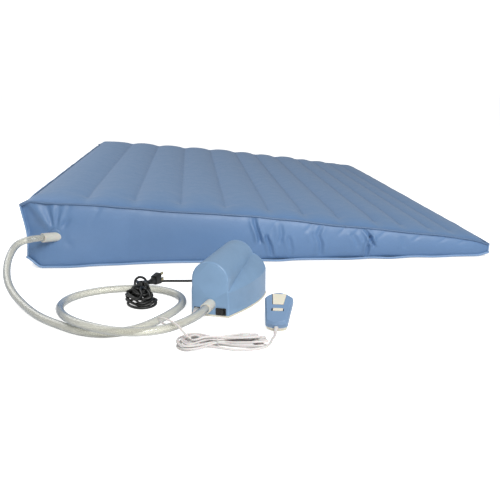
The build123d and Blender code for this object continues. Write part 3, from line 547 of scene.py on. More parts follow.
# look: the CAD pieces dressed in it
CAD_PIECES = {
    "blue": "port_flange base_panel top_panel near_gusset far_gusset head_gusset foot_gusset "
            "port_patch",
    "welt": "top_welt base_welt corner_welts",
    "web": "baffle_webs",
    "pump": "pump_cover",
    "hand": "handset_top",
    "cream": "pump_base handset_bottom inflate_button deflate_button",
    "collar": "port_collar outlet_collar",
    "black": "valve_solenoid switch_frame rocker jack_socket cord_strain_relief plug_body "
             "mains_cord_tie",
    "cord_black": "mains_cord mains_cord_bundle",
    "cord_white": "handset_strain_relief handset_cord handset_cord_bundle handset_cord_tie "
                  "handset_cord_tail",
    "grey": "valve_body valve_plunger outlet_duct blower_housing impeller",
    "rubber": "pump_feet",
    "board": "circuit_board handset_board",
    "steel": "case_screws motor_shaft motor_mount motor_body handset_screws",
    "brass": "plug_blades",
    "clear": "modular_plug",
    "vinyl": "air_hose",
}


def dress(ob, look):
    ob.data.materials.clear()
    ob.data.materials.append(LOOKS[look])


def dress_cad():
    look_of = {node: look for look, nodes in CAD_PIECES.items() for node in nodes.split()}
    for node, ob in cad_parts.items():
        dress(ob, look_of[node])


def register(ob, look, node, body=None):
    """Dresses the piece and puts it in place of its CAD node, riding on a body if given."""
    dress(ob, look)
    if body:
        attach(ob, body)
    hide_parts(node)


def blend(ob, body, weights):
    """Bakes the piece's transform into its mesh; body and weights are not used."""
    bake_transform(ob)


# ---------------------------------------------------------------- shape of the bladder
# Each shaping function takes vertices as rows of x, y, z and returns a changed copy.


def top_z(x):
    return HEAD_HEIGHT - SLOPE * (x + HALF_LENGTH)


def seam_distance(x):
    return np.min(np.abs(x[..., None] - SEAMS), axis=-1)


def dome(x, y):
    """Rise of the top over the straight slope: high in the middle, low at the corners."""
    edge = np.interp(x, *EDGE_RISE.T)
    middle = np.interp(x, *MIDDLE_RISE.T)
    inward = rise(HALF_WIDTH - np.abs(y), 0, 0.16)
    return edge * (1 - inward) + middle * inward


def crest(verts):
    """Raises points with the dome in proportion to their height."""
    verts = verts.copy()
    x, y, z = verts.T
    z += np.clip(z / np.maximum(top_z(x) - 0.003, 0.02), 0, 1) * dome(x, y)
    return verts


def nip(verts):
    """The upright corner seams are drawn in half way up."""
    verts = verts.copy()
    x, y, z = verts.T
    height = np.clip(z / np.maximum(top_z(x) + dome(x, y), 0.02), 0, 1)
    waist = np.sin(math.pi * height) ** 0.8 * np.where(x < 0, 1.0, 0.3)
    waist *= fall(HALF_LENGTH - np.abs(x), 0, 0.085) * fall(HALF_WIDTH - np.abs(y), 0, 0.085)
    x -= np.sign(x) * 0.0015 * waist
    y -= np.sign(y) * 0.009 * waist
    return verts


def corner_shape(verts):
    """Lifts the bottom corners, most at the head end, and swells the foot of the near side
    outwards towards the head end."""
    verts = verts.copy()
    x, y, z = verts.T
    side = rise(np.abs(y), HALF_WIDTH - 0.060, 0.060)
    z += 0.024 * rise(-x, HALF_LENGTH - 0.036, 0.036) * side * fall(z, 0, 0.10)
    z += 0.007 * rise(x, HALF_LENGTH - 0.030, 0.030) * side * fall(z, 0, 0.03)
    y -= 0.020 * bell(x + 0.50, 0.13) * rise(-y, HALF_WIDTH - 0.10, 0.10) * fall(z, 0, 0.11)
    return verts


def ear(verts):
    """The top corners at the head end poke outwards, where four pieces of cloth meet."""
    verts = verts.copy()
    x, y, z = verts.T
    corner = rise(np.abs(y), HALF_WIDTH - 0.075, 0.075)
    high = rise(z / np.maximum(top_z(x), 0.03), 0.35, 0.6)
    x -= 0.010 * corner * high * rise(-x, HALF_LENGTH - 0.070, 0.070)
    return verts


def blend_to_top(ob):
    """Works out each point's height between base and top as a weight and hands it to blend, which
    leaves it unused.
    """
    x, y, z = verts_of(ob).T
    blend(ob, "top", np.clip(z / np.maximum(top_z(x) - 0.0055 + dome(x, y), 0.02), 0, 1))


CLOTH = dict(
    quality=6, mass=0.25,
    tension_stiffness=25, compression_stiffness=12, shear_stiffness=6, bending_stiffness=0.6,
    tension_damping=12, shear_damping=8, bending_damping=0.8, air_damping=4,
    vertex_group_mass="pin", pin_stiffness=1.0, use_pressure=True)


def inflate(ob, pinned, pressure, frames, slack, cap):
    """Blows up a sheet held at its pinned vertices, with each vertex's travel held under cap.

    slack is how much longer the cloth is than the sheet along X, Y and Z."""
    rest = verts_of(ob)
    ob.shape_key_add(name="Basis")
    cut = ob.shape_key_add(name="cut")
    cut.data.foreach_set("co", (rest * (1 + np.array(slack))).astype(np.float32).ravel())
    cut.value = 0.0
    group = ob.vertex_groups.new(name="pin")
    for i in np.nonzero(pinned.ravel())[0]:
        group.add([int(i)], 1.0, "ADD")
    modifier = ob.modifiers.new("air", "CLOTH")
    settings = modifier.settings
    for key, value in CLOTH.items():
        setattr(settings, key, value)
    settings.uniform_pressure_force = pressure
    settings.rest_shape_key = cut
    settings.effector_weights.gravity = 0.0
    modifier.collision_settings.use_collision = False
    modifier.collision_settings.use_self_collision = False
    modifier.point_cache.frame_start = 1
    modifier.point_cache.frame_end = frames
    scene = bpy.context.scene
    scene.frame_start, scene.frame_end = 1, frames
    for f in range(1, frames + 1):
        scene.frame_set(f)
    evaluated = ob.evaluated_get(bpy.context.evaluated_depsgraph_get())
    blown = np.array([v.co for v in evaluated.data.vertices], float)
    ob.modifiers.remove(modifier)
    ob.shape_key_clear()
    ob.vertex_groups.clear()
    scene.frame_set(1)
    move = blown - rest
    move[~np.isfinite(move).all(1)] = 0
    travel = np.linalg.norm(move, axis=1)
    keep = np.where(travel > 1e-9, cap * np.tanh(travel / cap) / np.maximum(travel, 1e-9), 1.0)
    put_verts(ob, rest + move * keep[:, None])


# ---------------------------------------------------------------- bladder pieces


def top_sheet():
    """The quilted top: a rounded channel between each two seams."""
    column_pitch, rows = 0.0098, 109
    end_x, end_y = HALF_LENGTH - 0.004, HALF_WIDTH - 0.003
    channel_height = 0.0122
    bounds = np.r_[-end_x, SEAMS, end_x]
    xs = [bounds[0]]
    seam_columns = []
    for a, b in zip(bounds[:-1], bounds[1:]):
        count = max(5, int(round((b - a) / column_pitch)))
        xs += list(a + (b - a) * np.arange(1, count + 1) / count)
        seam_columns.append(len(xs) - 1)
    seam_columns.pop()
    ys = np.interp(np.linspace(0, 1, rows), [0, 0.06, 0.94, 1],
                   [-end_y, -SEAM_END, SEAM_END, end_y])
    near_row, far_row = (int(np.argmin(abs(ys - y))) for y in (-SEAM_END, SEAM_END))
    ys[near_row], ys[far_row] = -SEAM_END, SEAM_END

    x, y = np.meshgrid(np.array(xs), ys, indexing="ij")
    channel = np.clip(np.searchsorted(bounds, x, side="right") - 1, 0, len(bounds) - 2)
    channel_width = bounds[channel + 1] - bounds[channel]
    across = np.clip((x - bounds[channel]) / channel_width, 0, 1)
    crown = (4 * across * (1 - across)) ** 0.8
    height = channel_height * np.minimum(1.0, channel_width / 0.095)
    # past the seam ends the channels run together and roll down to the edge
    released = rise(np.abs(y), SEAM_END - 0.014, 0.028)
    lip = np.sqrt(ease_out((end_y - np.abs(y)) / SEAM_MARGIN))
    end_lip = np.sqrt(ease_out((end_x - np.abs(x)) / 0.035))
    z = top_z(x) - 0.0025 + height * crown * (1 - released)
    z += released * height * (0.50 * end_lip + 0.50 * crown) * lip
    z -= 0.0030 * (1 - lip) * released
    top = grid_sheet("top_sheet", x, y, z)

    stitched = np.zeros(x.shape, bool)
    stitched[seam_columns, near_row:far_row + 1] = True
    inflate(top, border(*x.shape) | stitched, pressure=5.0, frames=22,
            slack=(0.030, 0.0015, 0), cap=0.0075)
    verts = verts_of(top)
    # shallow drag lines that run out of each seam's near and far end
    for seam in SEAMS:
        for side in (-1, 1):
            past = side * verts[:, 1] - SEAM_END
            aside = verts[:, 0] - seam - 0.10 * past
            fan = bell(aside, 0.010 + 0.25 * np.clip(past, 0, 1))
            verts[:, 2] -= 0.0022 * fan * rise(past, -0.01, 0.01) * fall(past, 0.015, 0.035)
    put_verts(top, verts)
    subdivide(top, creased=set(np.nonzero(stitched.ravel())[0].tolist()))
    verts = verts_of(top)
    beside = np.abs(verts[:, 1])
    groove = bell(seam_distance(verts[:, 0]), 0.0035) * (beside < SEAM_END + 0.002)
    verts[:, 2] -= 0.0010 * groove
    put_verts(top, ear(crest(verts)))
    # painted shade in the seam grooves and along the long edges of the top
    set_seam_shade(top, np.clip(0.35 * groove + 0.3 * bell(end_y - beside, 0.004), 0, 1))
    register(top, "blue", "top_panel", body="top")


# Folds of the long gussets: points of the fold line as (height 0 to 1, x in mm), then the
# fold's depth and width in mm.
CREASES = [
    (((0.98, -28), (0.80, -24), (0.60, -16), (0.46, -13)), 9.5, 4.2),
    (((0.55, 3), (0.35, 12), (0.10, 18)), 7.5, 4.0),
    (((0.85, 38), (0.65, 41), (0.45, 36)), 3.0, 5.0),
    (((0.55, 58), (0.30, 66), (0.10, 64)), 3.0, 5.0),
    (((0.95, 141), (0.70, 131), (0.45, 140), (0.10, 140)), 5.0, 5.0),
    (((0.70, 118), (0.50, 124)), 2.0, 6.0),
    (((1.00, 250), (0.80, 262), (0.55, 271), (0.45, 273)), 11.0, 4.0),
    (((0.72, 268), (0.50, 262), (0.25, 259), (0.05, 258)), 10.0, 3.8),
    (((0.75, 222), (0.55, 232), (0.40, 235)), 2.6, 6.0),
    (((0.80, 352), (0.40, 356)), 1.5, 8.0),
    (((0.90, -330), (0.10, -338)), 1.0, 16.0),
]
FAR_CREASE_SHIFT = -0.11  # along X, for the far side
# places along X, in metres, of the fine puckers that hang from the top seam
PUCKERS = (-0.02, 0.035, 0.12, 0.205, 0.24, 0.31, 0.40, -0.47, -0.40, 0.47, 0.52)
# folds round the port: direction in radians from +X towards +Z, depth, width in radians, reach
PORT_FOLDS = (
    (1.80, 0.0070, 0.13, 0.070), (1.42, 0.0045, 0.11, 0.060), (0.92, 0.0060, 0.15, 0.038),
    (2.55, 0.0035, 0.17, 0.030), (-0.5, 0.0020, 0.2, 0.025), (3.6, 0.0025, 0.2, 0.025))


def register_gusset(ob, height, node):
    # painted shade along the gusset's top and bottom seams
    set_seam_shade(ob, 0.35 * bell(height, 0.03) + 0.35 * bell(1 - height, 0.04))
    blend_to_top(ob)
    register(ob, "blue", node)


def draw_into_port(x, y, z):
    """Cloth drawn into the port: flat round the patch, with folds running out from it."""
    radius = np.hypot(x - PORT[0], z - PORT[2])
    angle = np.arctan2(z - PORT[2], x - PORT[0])
    for direction, depth, width, reach in PORT_FOLDS:
        turn = np.angle(np.exp(1j * (angle - direction)))
        fold = bell(turn, width) - 0.5 * bell(turn - 2.0 * width, width)
        y += depth * fold * rise(radius, 0.018, 0.015) * fall(radius, reach, 0.03)
    flat = fall(radius, 0.0195, 0.022)
    y[:] = y * (1 - flat) + (PORT[1] + 0.0004) * flat


def long_gusset(name, side, node):
    """A long side wall; side is -1 for near and 1 for far."""
    columns, rows = 171, 17
    end_x, top_inset = HALF_LENGTH - 0.001, 0.0050
    xs = np.linspace(-end_x, end_x, columns)
    # columns crowd where the folds are
    xs -= 0.012 * np.sin((xs - 0.12) * 2 * math.pi / (2 * end_x))
    xs = np.clip(xs, -end_x, end_x)
    xs[0], xs[-1] = -end_x, end_x
    x, up = np.meshgrid(xs, np.linspace(0, 1, rows), indexing="ij")
    z = GUSSET_FOOT + (top_z(x) - top_inset - GUSSET_FOOT) * up
    bulge = (0.0190 - 0.0080 * (x + HALF_LENGTH) / LENGTH) * np.sin(math.pi * up) ** 0.62
    bulge = bulge * ease_out((HALF_LENGTH - np.abs(x)) / 0.060)
    ob = grid_sheet(name, x, side * (HALF_WIDTH - 0.0014 + 0.62 * bulge), z, flip=side > 0)
    inflate(ob, border(columns, rows), pressure=4.0, frames=20,
            slack=(0.0015, 0, 0.02), cap=0.0050)
    subdivide(ob)

    verts = verts_of(ob)
    x, y, z = verts.T
    tall = np.maximum(top_z(x) - top_inset - GUSSET_FOOT, 0.01)
    height = np.clip((z - GUSSET_FOOT) / tall, 0, 1)
    body = np.sin(math.pi * height) ** 0.6
    for line, depth, width in CREASES:
        line_height, line_x = np.array(line)[::-1].T
        line_x = line_x * MM + (FAR_CREASE_SHIFT if side > 0 else 0.0)
        width = width * MM
        off = x - np.interp(height, line_height, line_x)
        ends = rise(height, line_height[0] - 0.10, 0.14) * fall(height, line_height[-1], 0.10)
        # a valley between two lower ridges
        fold = (bell(off, width) - 0.40 * bell(off - 2.0 * width, width)
                - 0.55 * bell(off + 2.1 * width, width * 1.1))
        y -= side * body * ends * depth * MM * fold
    for place in PUCKERS:
        off = x - place + 0.08 * (1 - height)
        y -= side * 0.0016 * bell(off, 0.006) * rise(height, 0.55, 0.35) * fall(height, 0.97, 0.03)
    if side < 0:
        draw_into_port(x, y, z)
    # the tucked triangle beside the top corner at the head end
    inward, down = x + HALF_LENGTH, top_z(x) - z
    tuck = np.clip(1 - inward / (0.020 + 0.55 * down), 0, 1) * rise(inward, 0, 0.006)
    tuck *= rise(down, 0, 0.012) * fall(down, 0.050, 0.060)
    y -= side * 0.0085 * rise(tuck, 0, 0.625)
    put_verts(ob, nip(ear(crest(corner_shape(verts)))))
    register_gusset(ob, height, node)


def end_gusset(name, end, node, rows, bulge, puckers):
    """An end wall; end is -1 for the head and 1 for the foot."""
    columns = 121
    end_y = HALF_WIDTH - 0.001
    y, up = np.meshgrid(np.linspace(-end_y, end_y, columns), np.linspace(0, 1, rows),
                        indexing="ij")
    tall = top_z(end * HALF_LENGTH) - 0.0045 - GUSSET_FOOT
    out = bulge * np.sin(math.pi * up) ** 0.75 * ease_out((HALF_WIDTH - np.abs(y)) / 0.060)
    x = end * (HALF_LENGTH - 0.0010 + 0.6 * out)
    ob = grid_sheet(name, x, y, GUSSET_FOOT + tall * up, flip=end < 0)
    if end < 0:
        inflate(ob, border(columns, rows), pressure=4.0, frames=18,
                slack=(0, 0.0015, 0.02), cap=0.0040)
    subdivide(ob)
    verts = corner_shape(verts_of(ob))
    height = np.clip((verts[:, 2] - GUSSET_FOOT) / tall, 0, 1)
    for place in np.linspace(-0.62, 0.62, puckers):
        off = verts[:, 1] - place - 0.04 * (height - 0.5)
        verts[:, 0] -= end * 0.0016 * bell(off, 0.009) * rise(height, 0.35, 0.4)
    put_verts(ob, nip(ear(crest(verts))))
    register_gusset(ob, height, node)


def base_sheet():
    """Two skins joined round the rim, slightly quilted underneath."""
    columns, rows, thickness = 91, 111, 0.0012
    end_x, end_y = HALF_LENGTH - 0.001, HALF_WIDTH - 0.001
    x, y = np.meshgrid(np.linspace(-end_x, end_x, columns), np.linspace(-end_y, end_y, rows),
                       indexing="ij")
    z = 0.0004 + 0.0012 * bell(seam_distance(x), 0.012) * (np.abs(y) < SEAM_END)
    # the edge turns up
    z += 0.0040 * fall(np.minimum(HALF_LENGTH - np.abs(x), HALF_WIDTH - np.abs(y)), 0, 0.02)
    lower = np.stack([x.ravel(), y.ravel(), z.ravel()], 1)
    upper = lower + np.array([0, 0, thickness])
    count = columns * rows
    faces = grid_faces(columns, rows, flip=True)
    faces += [[i + count for i in face[::-1]] for face in faces]
    ids = np.arange(count).reshape(columns, rows)
    rim = np.r_[ids[:, 0], ids[-1, 1:], ids[::-1, -1][1:], ids[0, ::-1][1:-1]]
    for a, b in zip(rim, np.roll(rim, -1)):
        faces.append([a, b, b + count, a + count])
    base = new_mesh("base_sheet", np.vstack([corner_shape(lower), corner_shape(upper)]), faces)
    set_seam_shade(base)
    register(base, "blue", "base_panel", body="base")


def perimeter(step=0.008, radius=0.006):
    """x, y points round the bladder's outline, with rounded corners."""
    corners = [(-HALF_LENGTH, -HALF_WIDTH, 180), (HALF_LENGTH, -HALF_WIDTH, 270),
               (HALF_LENGTH, HALF_WIDTH, 0), (-HALF_LENGTH, HALF_WIDTH, 90)]
    points = []
    for corner_x, corner_y, start in corners:
        x = corner_x - math.copysign(radius, corner_x)
        y = corner_y - math.copysign(radius, corner_y)
        for k in range(5):
            a = math.radians(start + 90 * k / 4)
            points.append(np.array((x + radius * math.cos(a), y + radius * math.sin(a))))
    dense = []
    for here, there in zip(points, points[1:] + points[:1]):
        count = max(1, int(np.linalg.norm(there - here) / step))
        dense += [here + (there - here) * k / count for k in range(count)]
    return np.array(dense)


def wobble(path, size, seed):
    """Random slow waves in y and z along the path."""
    random = np.random.default_rng(seed)
    run = run_lengths(path)
    waves = range(10, 60, 3)
    offset = np.zeros((len(path), 3))
    for wave in waves:
        for axis in (1, 2):
            swing = random.normal()
            phase = random.uniform(0, 6.28)
            offset[:, axis] += swing * np.sin(2 * math.pi * wave * run / run[-1] + phase)
    return path + size * offset / math.sqrt(len(waves))


def top_piping():
    outline = perimeter()
    path = np.column_stack([outline, top_z(outline[:, 0]) - 0.0032])
    path = ear(crest(wobble(path, size=0.0005, seed=3)))
    ob = tube("top_piping", path, radius=0.0024, sides=12, closed=True)
    # painted shade on the welt along the two long sides
    set_seam_shade(ob, 0.42 * rise(np.abs(verts_of(ob)[:, 1]), HALF_WIDTH - 0.012, 0.010))
    register(ob, "welt", "top_welt", body="top")


def base_piping():
    outline = perimeter()
    path = np.column_stack([outline, np.full(len(outline), 0.0052)])
    path = wobble(path, size=0.0006, seed=5)
    near = path[:, 1] < -HALF_WIDTH + 0.02
    # outward swells on the near side: place along X, width, depth
    for place, width, depth in ((0.03, 0.030, 0.006), (0.20, 0.045, 0.005), (0.31, 0.028, 0.004)):
        path[:, 1] -= near * depth * bell(path[:, 0] - place, width)
    ob = tube("base_piping", corner_shape(path), radius=0.0028, sides=12, closed=True)
    set_seam_shade(ob)
    register(ob, "rim", "base_welt", body="base")


def corner_piping():
    obs = []
    for end in (-1, 1):
        for side in (-1, 1):
            count = 24 if end < 0 else 8
            path = np.column_stack([
                np.full(count, end * (HALF_LENGTH - 0.0008)),
                np.full(count, side * (HALF_WIDTH - 0.0012)),
                np.linspace(0.008, top_z(end * HALF_LENGTH) - 0.0055, count)])
            path = nip(ear(crest(corner_shape(path))))
            obs.append(tube(f"corner_{end}_{side}", path, radius=0.0023, sides=10))
    ob = join("corner_piping", obs)
    set_seam_shade(ob)
    blend_to_top(ob)
    register(ob, "rim", "corner_welts")


def inner_webs():
    """Upright sheets under the seams, from base to top, slightly waved."""
    columns, rows = 31, 5
    half_span, foot, thickness = 0.670, 0.0026, 0.0008
    verts, faces = [], []
    for seam in SEAMS:
        tall = top_z(seam) - 0.005 - foot
        first = len(verts)
        for i in range(columns):
            for j in range(rows):
                y = -half_span + 2 * half_span * i / (columns - 1)
                up = j / (rows - 1)
                wave = 0.002 * math.sin(9 * y) * math.sin(math.pi * up)
                verts.append((seam + wave, y, foot + tall * up))
        faces += [[first + i for i in face] for face in grid_faces(columns, rows)]
    web = new_mesh("inner_webs", crest(np.array(verts)), faces)
    solidify = web.modifiers.new("t", "SOLIDIFY")
    solidify.thickness = thickness
    apply_modifier(web, solidify)
    dress(web, "web")
    blend_to_top(web)
    register(web, "web", "baffle_webs")


def port_washer():
    """A soft washer pressed on the near gusset round the port."""
    sides = 48
    # section of the washer: radius, height off the gusset
    section = [(0.0060, 0.0), (0.0060, 0.0016), (0.0128, 0.0016), (0.0140, 0.0012),
               (0.0152, 0.0016), (0.0172, 0.0011), (0.0182, -0.0004), (0.0160, -0.0006)]
    verts, faces = [], []
    for radius, height in section:
        for a in np.linspace(0, 2 * math.pi, sides, endpoint=False):
            # the outermost rings are a little uneven
            wavy = radius * (1 + 0.006 * math.sin(5 * a) * (radius > 0.016))
            verts.append(PORT + np.array((wavy * math.cos(a), -height, wavy * math.sin(a))))
    for i in range(len(section)):
        here, there = i * sides, (i + 1) % len(section) * sides
        for k in range(sides):
            after = (k + 1) % sides
            faces.append([here + k, here + after, there + after, there + k])
    patch = new_mesh("port_washer", verts, faces)
    face_outwards(patch)
    set_seam_shade(patch)
    register(patch, "blue", "port_patch", body="port")


# ---------------------------------------------------------------- hose and mains cord
PUMP_ORIGIN = np.array([-0.149, -1.125, 0.0])
PUMP_X = unit([0.9305, -0.3662, 0.0])
PUMP_Y = unit([0.3662, 0.9305, 0.0])


def at_pump(x, y, z):
    """World place of a point given in mm in the pump's own frame."""
    return PUMP_ORIGIN + (PUMP_X * x + PUMP_Y * y) * MM + np.array([0, 0, z * MM])


def air_hose():
    """From the port down to the floor, round one loop and into the pump."""
    out = unit([-0.62, -0.775, 0.12])
    tip = PORT + np.array([0, -0.004, 0]) + out * 0.038
    points = [tip + out * distance for distance in (-0.018, -0.008, 0.003, 0.014)]
    points += in_mm(
        (-571, -801, 81), (-587, -846, 69), (-584, -908, 49), (-560, -986, 27),
        (-519, -1055, 13), (-467, -1127, 8.3), (-422, -1173, 8.1), (-375, -1208, 8.1),
        (-327, -1216, 8.1), (-287, -1200, 8.1), (-253, -1164, 8.1), (-223, -1117, 8.1),
        (-204, -1065, 8.1), (-211, -1013, 8.1), (-245, -974, 8.1), (-317, -954, 8.1),
        (-383, -967, 8.1), (-426, -1002, 9), (-442, -1059, 13), (-435, -1118, 20),
        (-412, -1176, 25), (-382, -1212, 26), (-349, -1237, 26), (-311, -1256, 26),
        (-273, -1262, 26), (-236, -1253, 26), (-202, -1225, 26))
    points += [at_pump(1, y, 26) for y in (-46, -33, -22, -14)]
    path = spline(points, 0.005)
    hose = tube("hose", path, HOSE_R, HOSE_SIDES, bore=HOSE_BORE_R)
    # outer skin, then the bore's
    run = np.tile(np.repeat(run_lengths(path), HOSE_SIDES), 2)
    blend(hose, "port", fall(run, 0.045, 0.36))
    register(hose, "vinyl", "air_hose")


def mains_lead():
    points = [at_pump(-45, y, 14) for y in (169, 182, 193)] + in_mm(
        (-112, -906, 9), (-122, -893, 5), (-146, -889, 3.1), (-187, -892, 2.9),
        (-217, -890, 2.9), (-247, -888, 2.9), (-272, -889, 3.2), (-292, -896, 5),
        (-303, -912, 10), (-306, -932, 19), (-302, -953, 23), (-298, -970, 24), (-295, -984, 23))
    lead = tube("mains_lead", spline(points, 0.004), MAINS_CORD_R, sides=14)
    register(lead, "cord_black", "mains_cord", body="base")


def coil(name, loops, radius, seed, step, jitter):
    """Closed loops of cord, each point moved at random and kept above the floor."""
    random = np.random.default_rng(seed)
    obs = []
    for k, points in enumerate(loops):
        points = np.array(points, float)
        points[:, :2] += random.normal(0, jitter, (len(points), 2))
        drift = random.normal(0, jitter * 0.8, len(points))
        points[:, 2] = np.maximum(points[:, 2] + drift, radius + 0.0002)
        path = spline(points, step, closed=True)
        path[:, 2] = np.maximum(path[:, 2], radius + 0.0001)
        obs.append(tube(f"{name}_{k}", path, radius, sides=12, closed=True))
    return obs


# Loops of the mains coil, in mm: half width, height, shift along X, y of the near end,
# lift at the sides, shift along Y of the side points
MAINS_LOOPS = [
    (20, 2.9, 0, -1071, 0, 0), (22, 6.0, 4, -1068, 2, 3), (15, 8.6, -6, -1058, 9, -4),
    (19, 11.2, 1, -1063, 1, 6), (11, 13.6, 7, -1049, 12, 2), (18, 15.8, -2, -1056, 4, 9),
    (9, 18.0, -9, -1061, 7, -3), (14, 20.2, 3, -1045, 10, 4), (12, 22.2, -4, -1038, 4, 1),
    (7, 24.0, 2, -1030, 8, 6),
]


def mains_coil():
    loops = []
    for k, (wide, z, shift, near, lift, skew) in enumerate(MAINS_LOOPS):
        half = shift * 0.5
        loops.append(in_mm(
            (-294 + half - 3.6, -990, z),
            (-295 + shift - wide, -1022 + skew, z + lift * 0.5),
            (-289 + shift - wide * 0.85, near + 14, z + lift * 0.3),
            (-286 + shift, near, max(2.9, z - 2)),
            (-284 + shift + wide * 0.8, near + 13, z + lift * 0.3),
            (-286 + shift + wide, -1025 - skew * 0.5, z + 1.2 + lift),
            (-286 + half, -990, z),
            (-281 + half, -981 - 0.7 * k, z),
            (-290 + half, -976.5 - 0.4 * k, z),
            (-300 + half, -981 - 0.7 * k, z)))
    obs = coil("coil", loops, MAINS_CORD_R, seed=11, step=0.004, jitter=0.0030)
    # the plug's own short lead, over the hose and down into the coil
    plug = np.array([-0.257, -0.918, 0.0195])
    plug_way = unit([0.56, 0.825, 0.06])
    points = [plug - plug_way * 0.034, plug - plug_way * 0.039] + in_mm(
        (-283, -953, 26), (-288, -956, 32), (-295, -959, 34.5), (-302, -966, 32),
        (-304, -977, 26), (-300, -989, 21))
    obs.append(tube("coil_lead", spline(points, 0.003), MAINS_CORD_R, sides=12))
    register(join("mains_coil", obs), "cord_black", "mains_cord_bundle",
             body="base")


def tie(name, centre, along, half_width, half_height, radius, turns, pitch):
    """A wire wound round a bundle in a squared-off helix."""
    up = np.array([0, 0, 1.0])
    along = np.array(along, float)
    side = np.cross(up, along)
    steps, squareness = 36, 2.6  # steps per turn; 2 would be an ellipse
    path = []
    for i in range(steps * turns + 1):
        a = 2 * math.pi * i / steps - math.pi / 2
        out, high = (math.copysign(abs(value) ** (2 / squareness), value)
                     for value in (math.cos(a), math.sin(a)))
        path.append(np.array(centre) + side * half_width * out + up * half_height * high
                    + along * pitch * (i / steps - turns / 2))
    return tube(name, path, radius, sides=8)


def mains_tie():
    ob = tie("mains_tie", centre=(-0.291, -0.990, 0.01285), along=(0, 1, 0), half_width=0.0172,
             half_height=0.0115, radius=0.0011, turns=3, pitch=0.0022)
    register(ob, "black", "mains_cord_tie", body="base")


# ---------------------------------------------------------------- hand control's cord


def control_lead():
    """From the pump, up over the hose and into the hank."""
    points = [at_pump(-27, -3.6, 12.8), at_pump(-27, -8, 12.8), at_pump(-27, -13, 12.8),
              at_pump(-27, -20, 11.3)]
    points += in_mm(
        (-200, -1160, 5), (-222, -1180, 6), (-240, -1203, 21), (-241, -1229, 38.5),
        (-225, -1247, 41), (-207, -1262, 34), (-196, -1275, 25), (-186, -1284, 19))
    lead = tube("control_lead", spline(points, 0.003), radius=0.0019, sides=12)
    register(lead, "cord_white", "handset_cord", body="base")


# Loops of the hank, in mm: half width at the -X end and at the +X end, height, shift along
# Y, x of the -X end, x of the +X end
HANK_LOOPS = [
    (22, 9, 2.1, 0, -211, -70), (25, 11, 4.6, -2, -208, -74), (16, 6, 7.2, 2, -205, -79),
    (23, 8, 9.6, -1, -210, -72), (12, 4, 12.0, 3, -199, -90), (18, 7, 14.2, 1, -203, -82),
    (9, 3, 16.2, -2, -192, -98),
]


def control_hank():
    """A long hank of cord along X, drawn together by its tie."""
    loops = []
    for wide, narrow, z, shift, start, end in HANK_LOOPS:
        middle = -1272
        wide_y, narrow_y = middle + shift, middle + shift * 0.5
        loops.append(in_mm(
            (-141, middle + 3.4, z),
            (-170, wide_y + wide * 0.75, z),
            (start + 13, wide_y + wide * 0.95, z + 0.8),
            (start, wide_y, z),
            (start + 12, wide_y - wide, z),
            (-170, wide_y - wide * 0.8, z + 0.7),
            (-141, middle - 3.4, z),
            (-110, narrow_y - narrow, z),
            (end + 13, narrow_y - narrow, z + 0.6),
            (end, narrow_y, z),
            (end + 13, narrow_y + narrow, z),
            (-110, narrow_y + narrow, z)))
    obs = coil("hank", loops, radius=0.0021, seed=23, step=0.003, jitter=0.0016)
    register(join("control_hank", obs), "cord_white", "handset_cord_bundle",
             body="base")


def control_tie():
    ob = tie("control_tie", centre=(-0.141, -1.272, 0.0092), along=(1, 0, 0),
             half_width=0.0078, half_height=0.0086, radius=0.0008, turns=2, pitch=0.0016)
    register(ob, "cord_white", "handset_cord_tie", body="base")


def control_tail():
    """From the hand control's near end back to the hank."""
    yaw, tilt = math.radians(-12.3), math.radians(28)
    up = np.array([0, 0, 1.0])
    level = np.array([-math.sin(yaw), math.cos(yaw), 0])
    control_y = level * math.cos(tilt) + up * math.sin(tilt)
    control_z = up * math.cos(tilt) - level * math.sin(tilt)
    root = np.array([-0.0305, -1.213, 0.00015]) + (control_y * 6.5 + control_z * 8.2) * MM
    out = unit(-level - 0.30 * up)
    points = [root + out * distance for distance in (0.004, 0.012, 0.020, 0.026)]
    points += in_mm(
        (-43, -1256, 2.3), (-48, -1272, 2.0), (-58, -1289, 2.1), (-78, -1298, 2.1),
        (-100, -1299.5, 2.1), (-122, -1296, 3), (-138, -1290, 4), (-146, -1286, 4),
        (-160, -1281, 4))
    path = spline(points, 0.003)
    path[:, 2] = np.maximum(path[:, 2], 0.0024)
    tail = tube("control_tail", path, radius=0.0023, sides=TAIL_SIDES)
    blend(tail, "handset", fall(np.repeat(run_lengths(path), TAIL_SIDES), 0.024, 0.14))
    register(tail, "cord_white", "handset_cord_tail")


# ---------------------------------------------------------------- stage
FLOOR_HALF = 14
FLOOR_GLOW = 0.66  # added to the floor for the camera only
SKY_LIGHT, SKY_SEEN = 0.38, 1.1  # world strength as a light, and as the camera sees it


def studio_floor():
    corners = [(x * FLOOR_HALF, y * FLOOR_HALF, 0) for x, y in ((-1, -1), (1, -1), (1, 1), (-1, 1))]
    floor = new_mesh("floor", corners, [(0, 1, 2, 3)], smooth=False)
    m = Shader("studio_floor")
    clouds = m.noise(m.coords(), scale=3.0)
    m.paint({
        "Base Color": m.ramp(clouds, [(0.3, (0.90, 0.90, 0.90, 1)), (0.7, (0.92, 0.92, 0.92, 1))]),
        "Roughness": 0.85})
    seen = m.node("ShaderNodeLightPath").outputs["Is Camera Ray"]
    glow = m.node("ShaderNodeEmission")
    m.feed(glow, {"Strength": m.math("MULTIPLY", seen, FLOOR_GLOW)})
    both = m.node("ShaderNodeAddShader", {0: m.surface.outputs[0], 1: glow.outputs[0]})
    m.feed(m.output, {"Surface": both.outputs[0]})
    floor.data.materials.append(m.material)


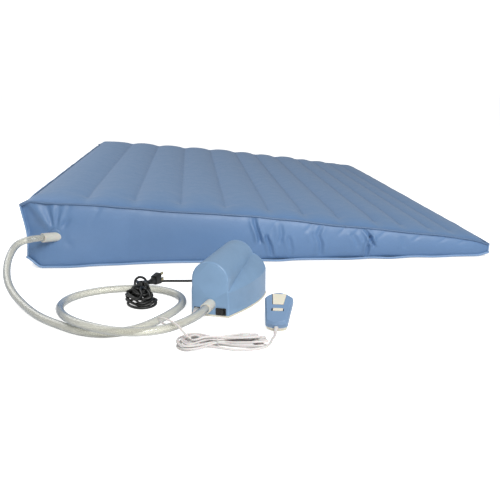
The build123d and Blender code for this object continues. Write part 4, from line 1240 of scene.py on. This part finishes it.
def studio_world():
    world = bpy.data.worlds.new("studio")
    bpy.context.scene.world = world
    world.use_nodes = True
    tree = world.node_tree
    background = tree.nodes["Background"]
    background.inputs["Color"].default_value = (1.0, 1.0, 1.0, 1)
    path = tree.nodes.new("ShaderNodeLightPath")
    strength = tree.nodes.new("ShaderNodeMapRange")
    strength.inputs["To Min"].default_value = SKY_LIGHT
    strength.inputs["To Max"].default_value = SKY_SEEN
    tree.links.new(path.outputs["Is Camera Ray"], strength.inputs["Value"])
    tree.links.new(strength.outputs["Result"], background.inputs["Strength"])


def area_light(name, place, target, size, power):
    light = bpy.data.lights.new(name, "AREA")
    light.shape = "RECTANGLE"
    light.size, light.size_y = size
    light.energy = power
    ob = bpy.data.objects.new(name, light)
    bpy.context.scene.collection.objects.link(ob)
    ob.location = place
    ob.rotation_euler = (Vector(target) - Vector(place)).to_track_quat("-Z", "Y").to_euler()


def camera():
    lens = bpy.data.cameras.new("camera")
    ob = bpy.data.objects.new("camera", lens)
    scene = bpy.context.scene
    scene.collection.objects.link(ob)
    lens.sensor_width = 36.0
    lens.lens = 48.89
    ob.location = (-0.17848, -2.37108, 0.45378)
    ob.rotation_euler = (math.radians(75.574), 0, math.radians(-4.913))
    lens.clip_start, lens.clip_end = 0.05, 60
    scene.camera = ob
    scene.view_settings.view_transform = "Standard"
    scene.view_settings.look = "None"


# ---------------------------------------------------------------- build, in order
dress_cad()

top_sheet()
long_gusset("near_side", -1, "near_gusset")
long_gusset("far_side", 1, "far_gusset")
end_gusset("head_side", -1, "head_gusset", rows=17, bulge=0.0075, puckers=9)
end_gusset("foot_side", 1, "foot_gusset", rows=9, bulge=0.0035, puckers=12)
base_sheet()
top_piping()
base_piping()
corner_piping()
inner_webs()
port_washer()

air_hose()
mains_lead()
mains_coil()
mains_tie()
control_lead()
control_hank()
control_tie()
control_tail()

studio_floor()
studio_world()
area_light("key", place=(0.60, -3.15, 1.90), target=(0, -0.7, 0), size=(1.5, 1.2), power=74)
area_light("fill", place=(-1.6, 0.3, 1.7), target=(-0.4, -0.3, 0.1), size=(1.4, 1.4), power=17)
camera()
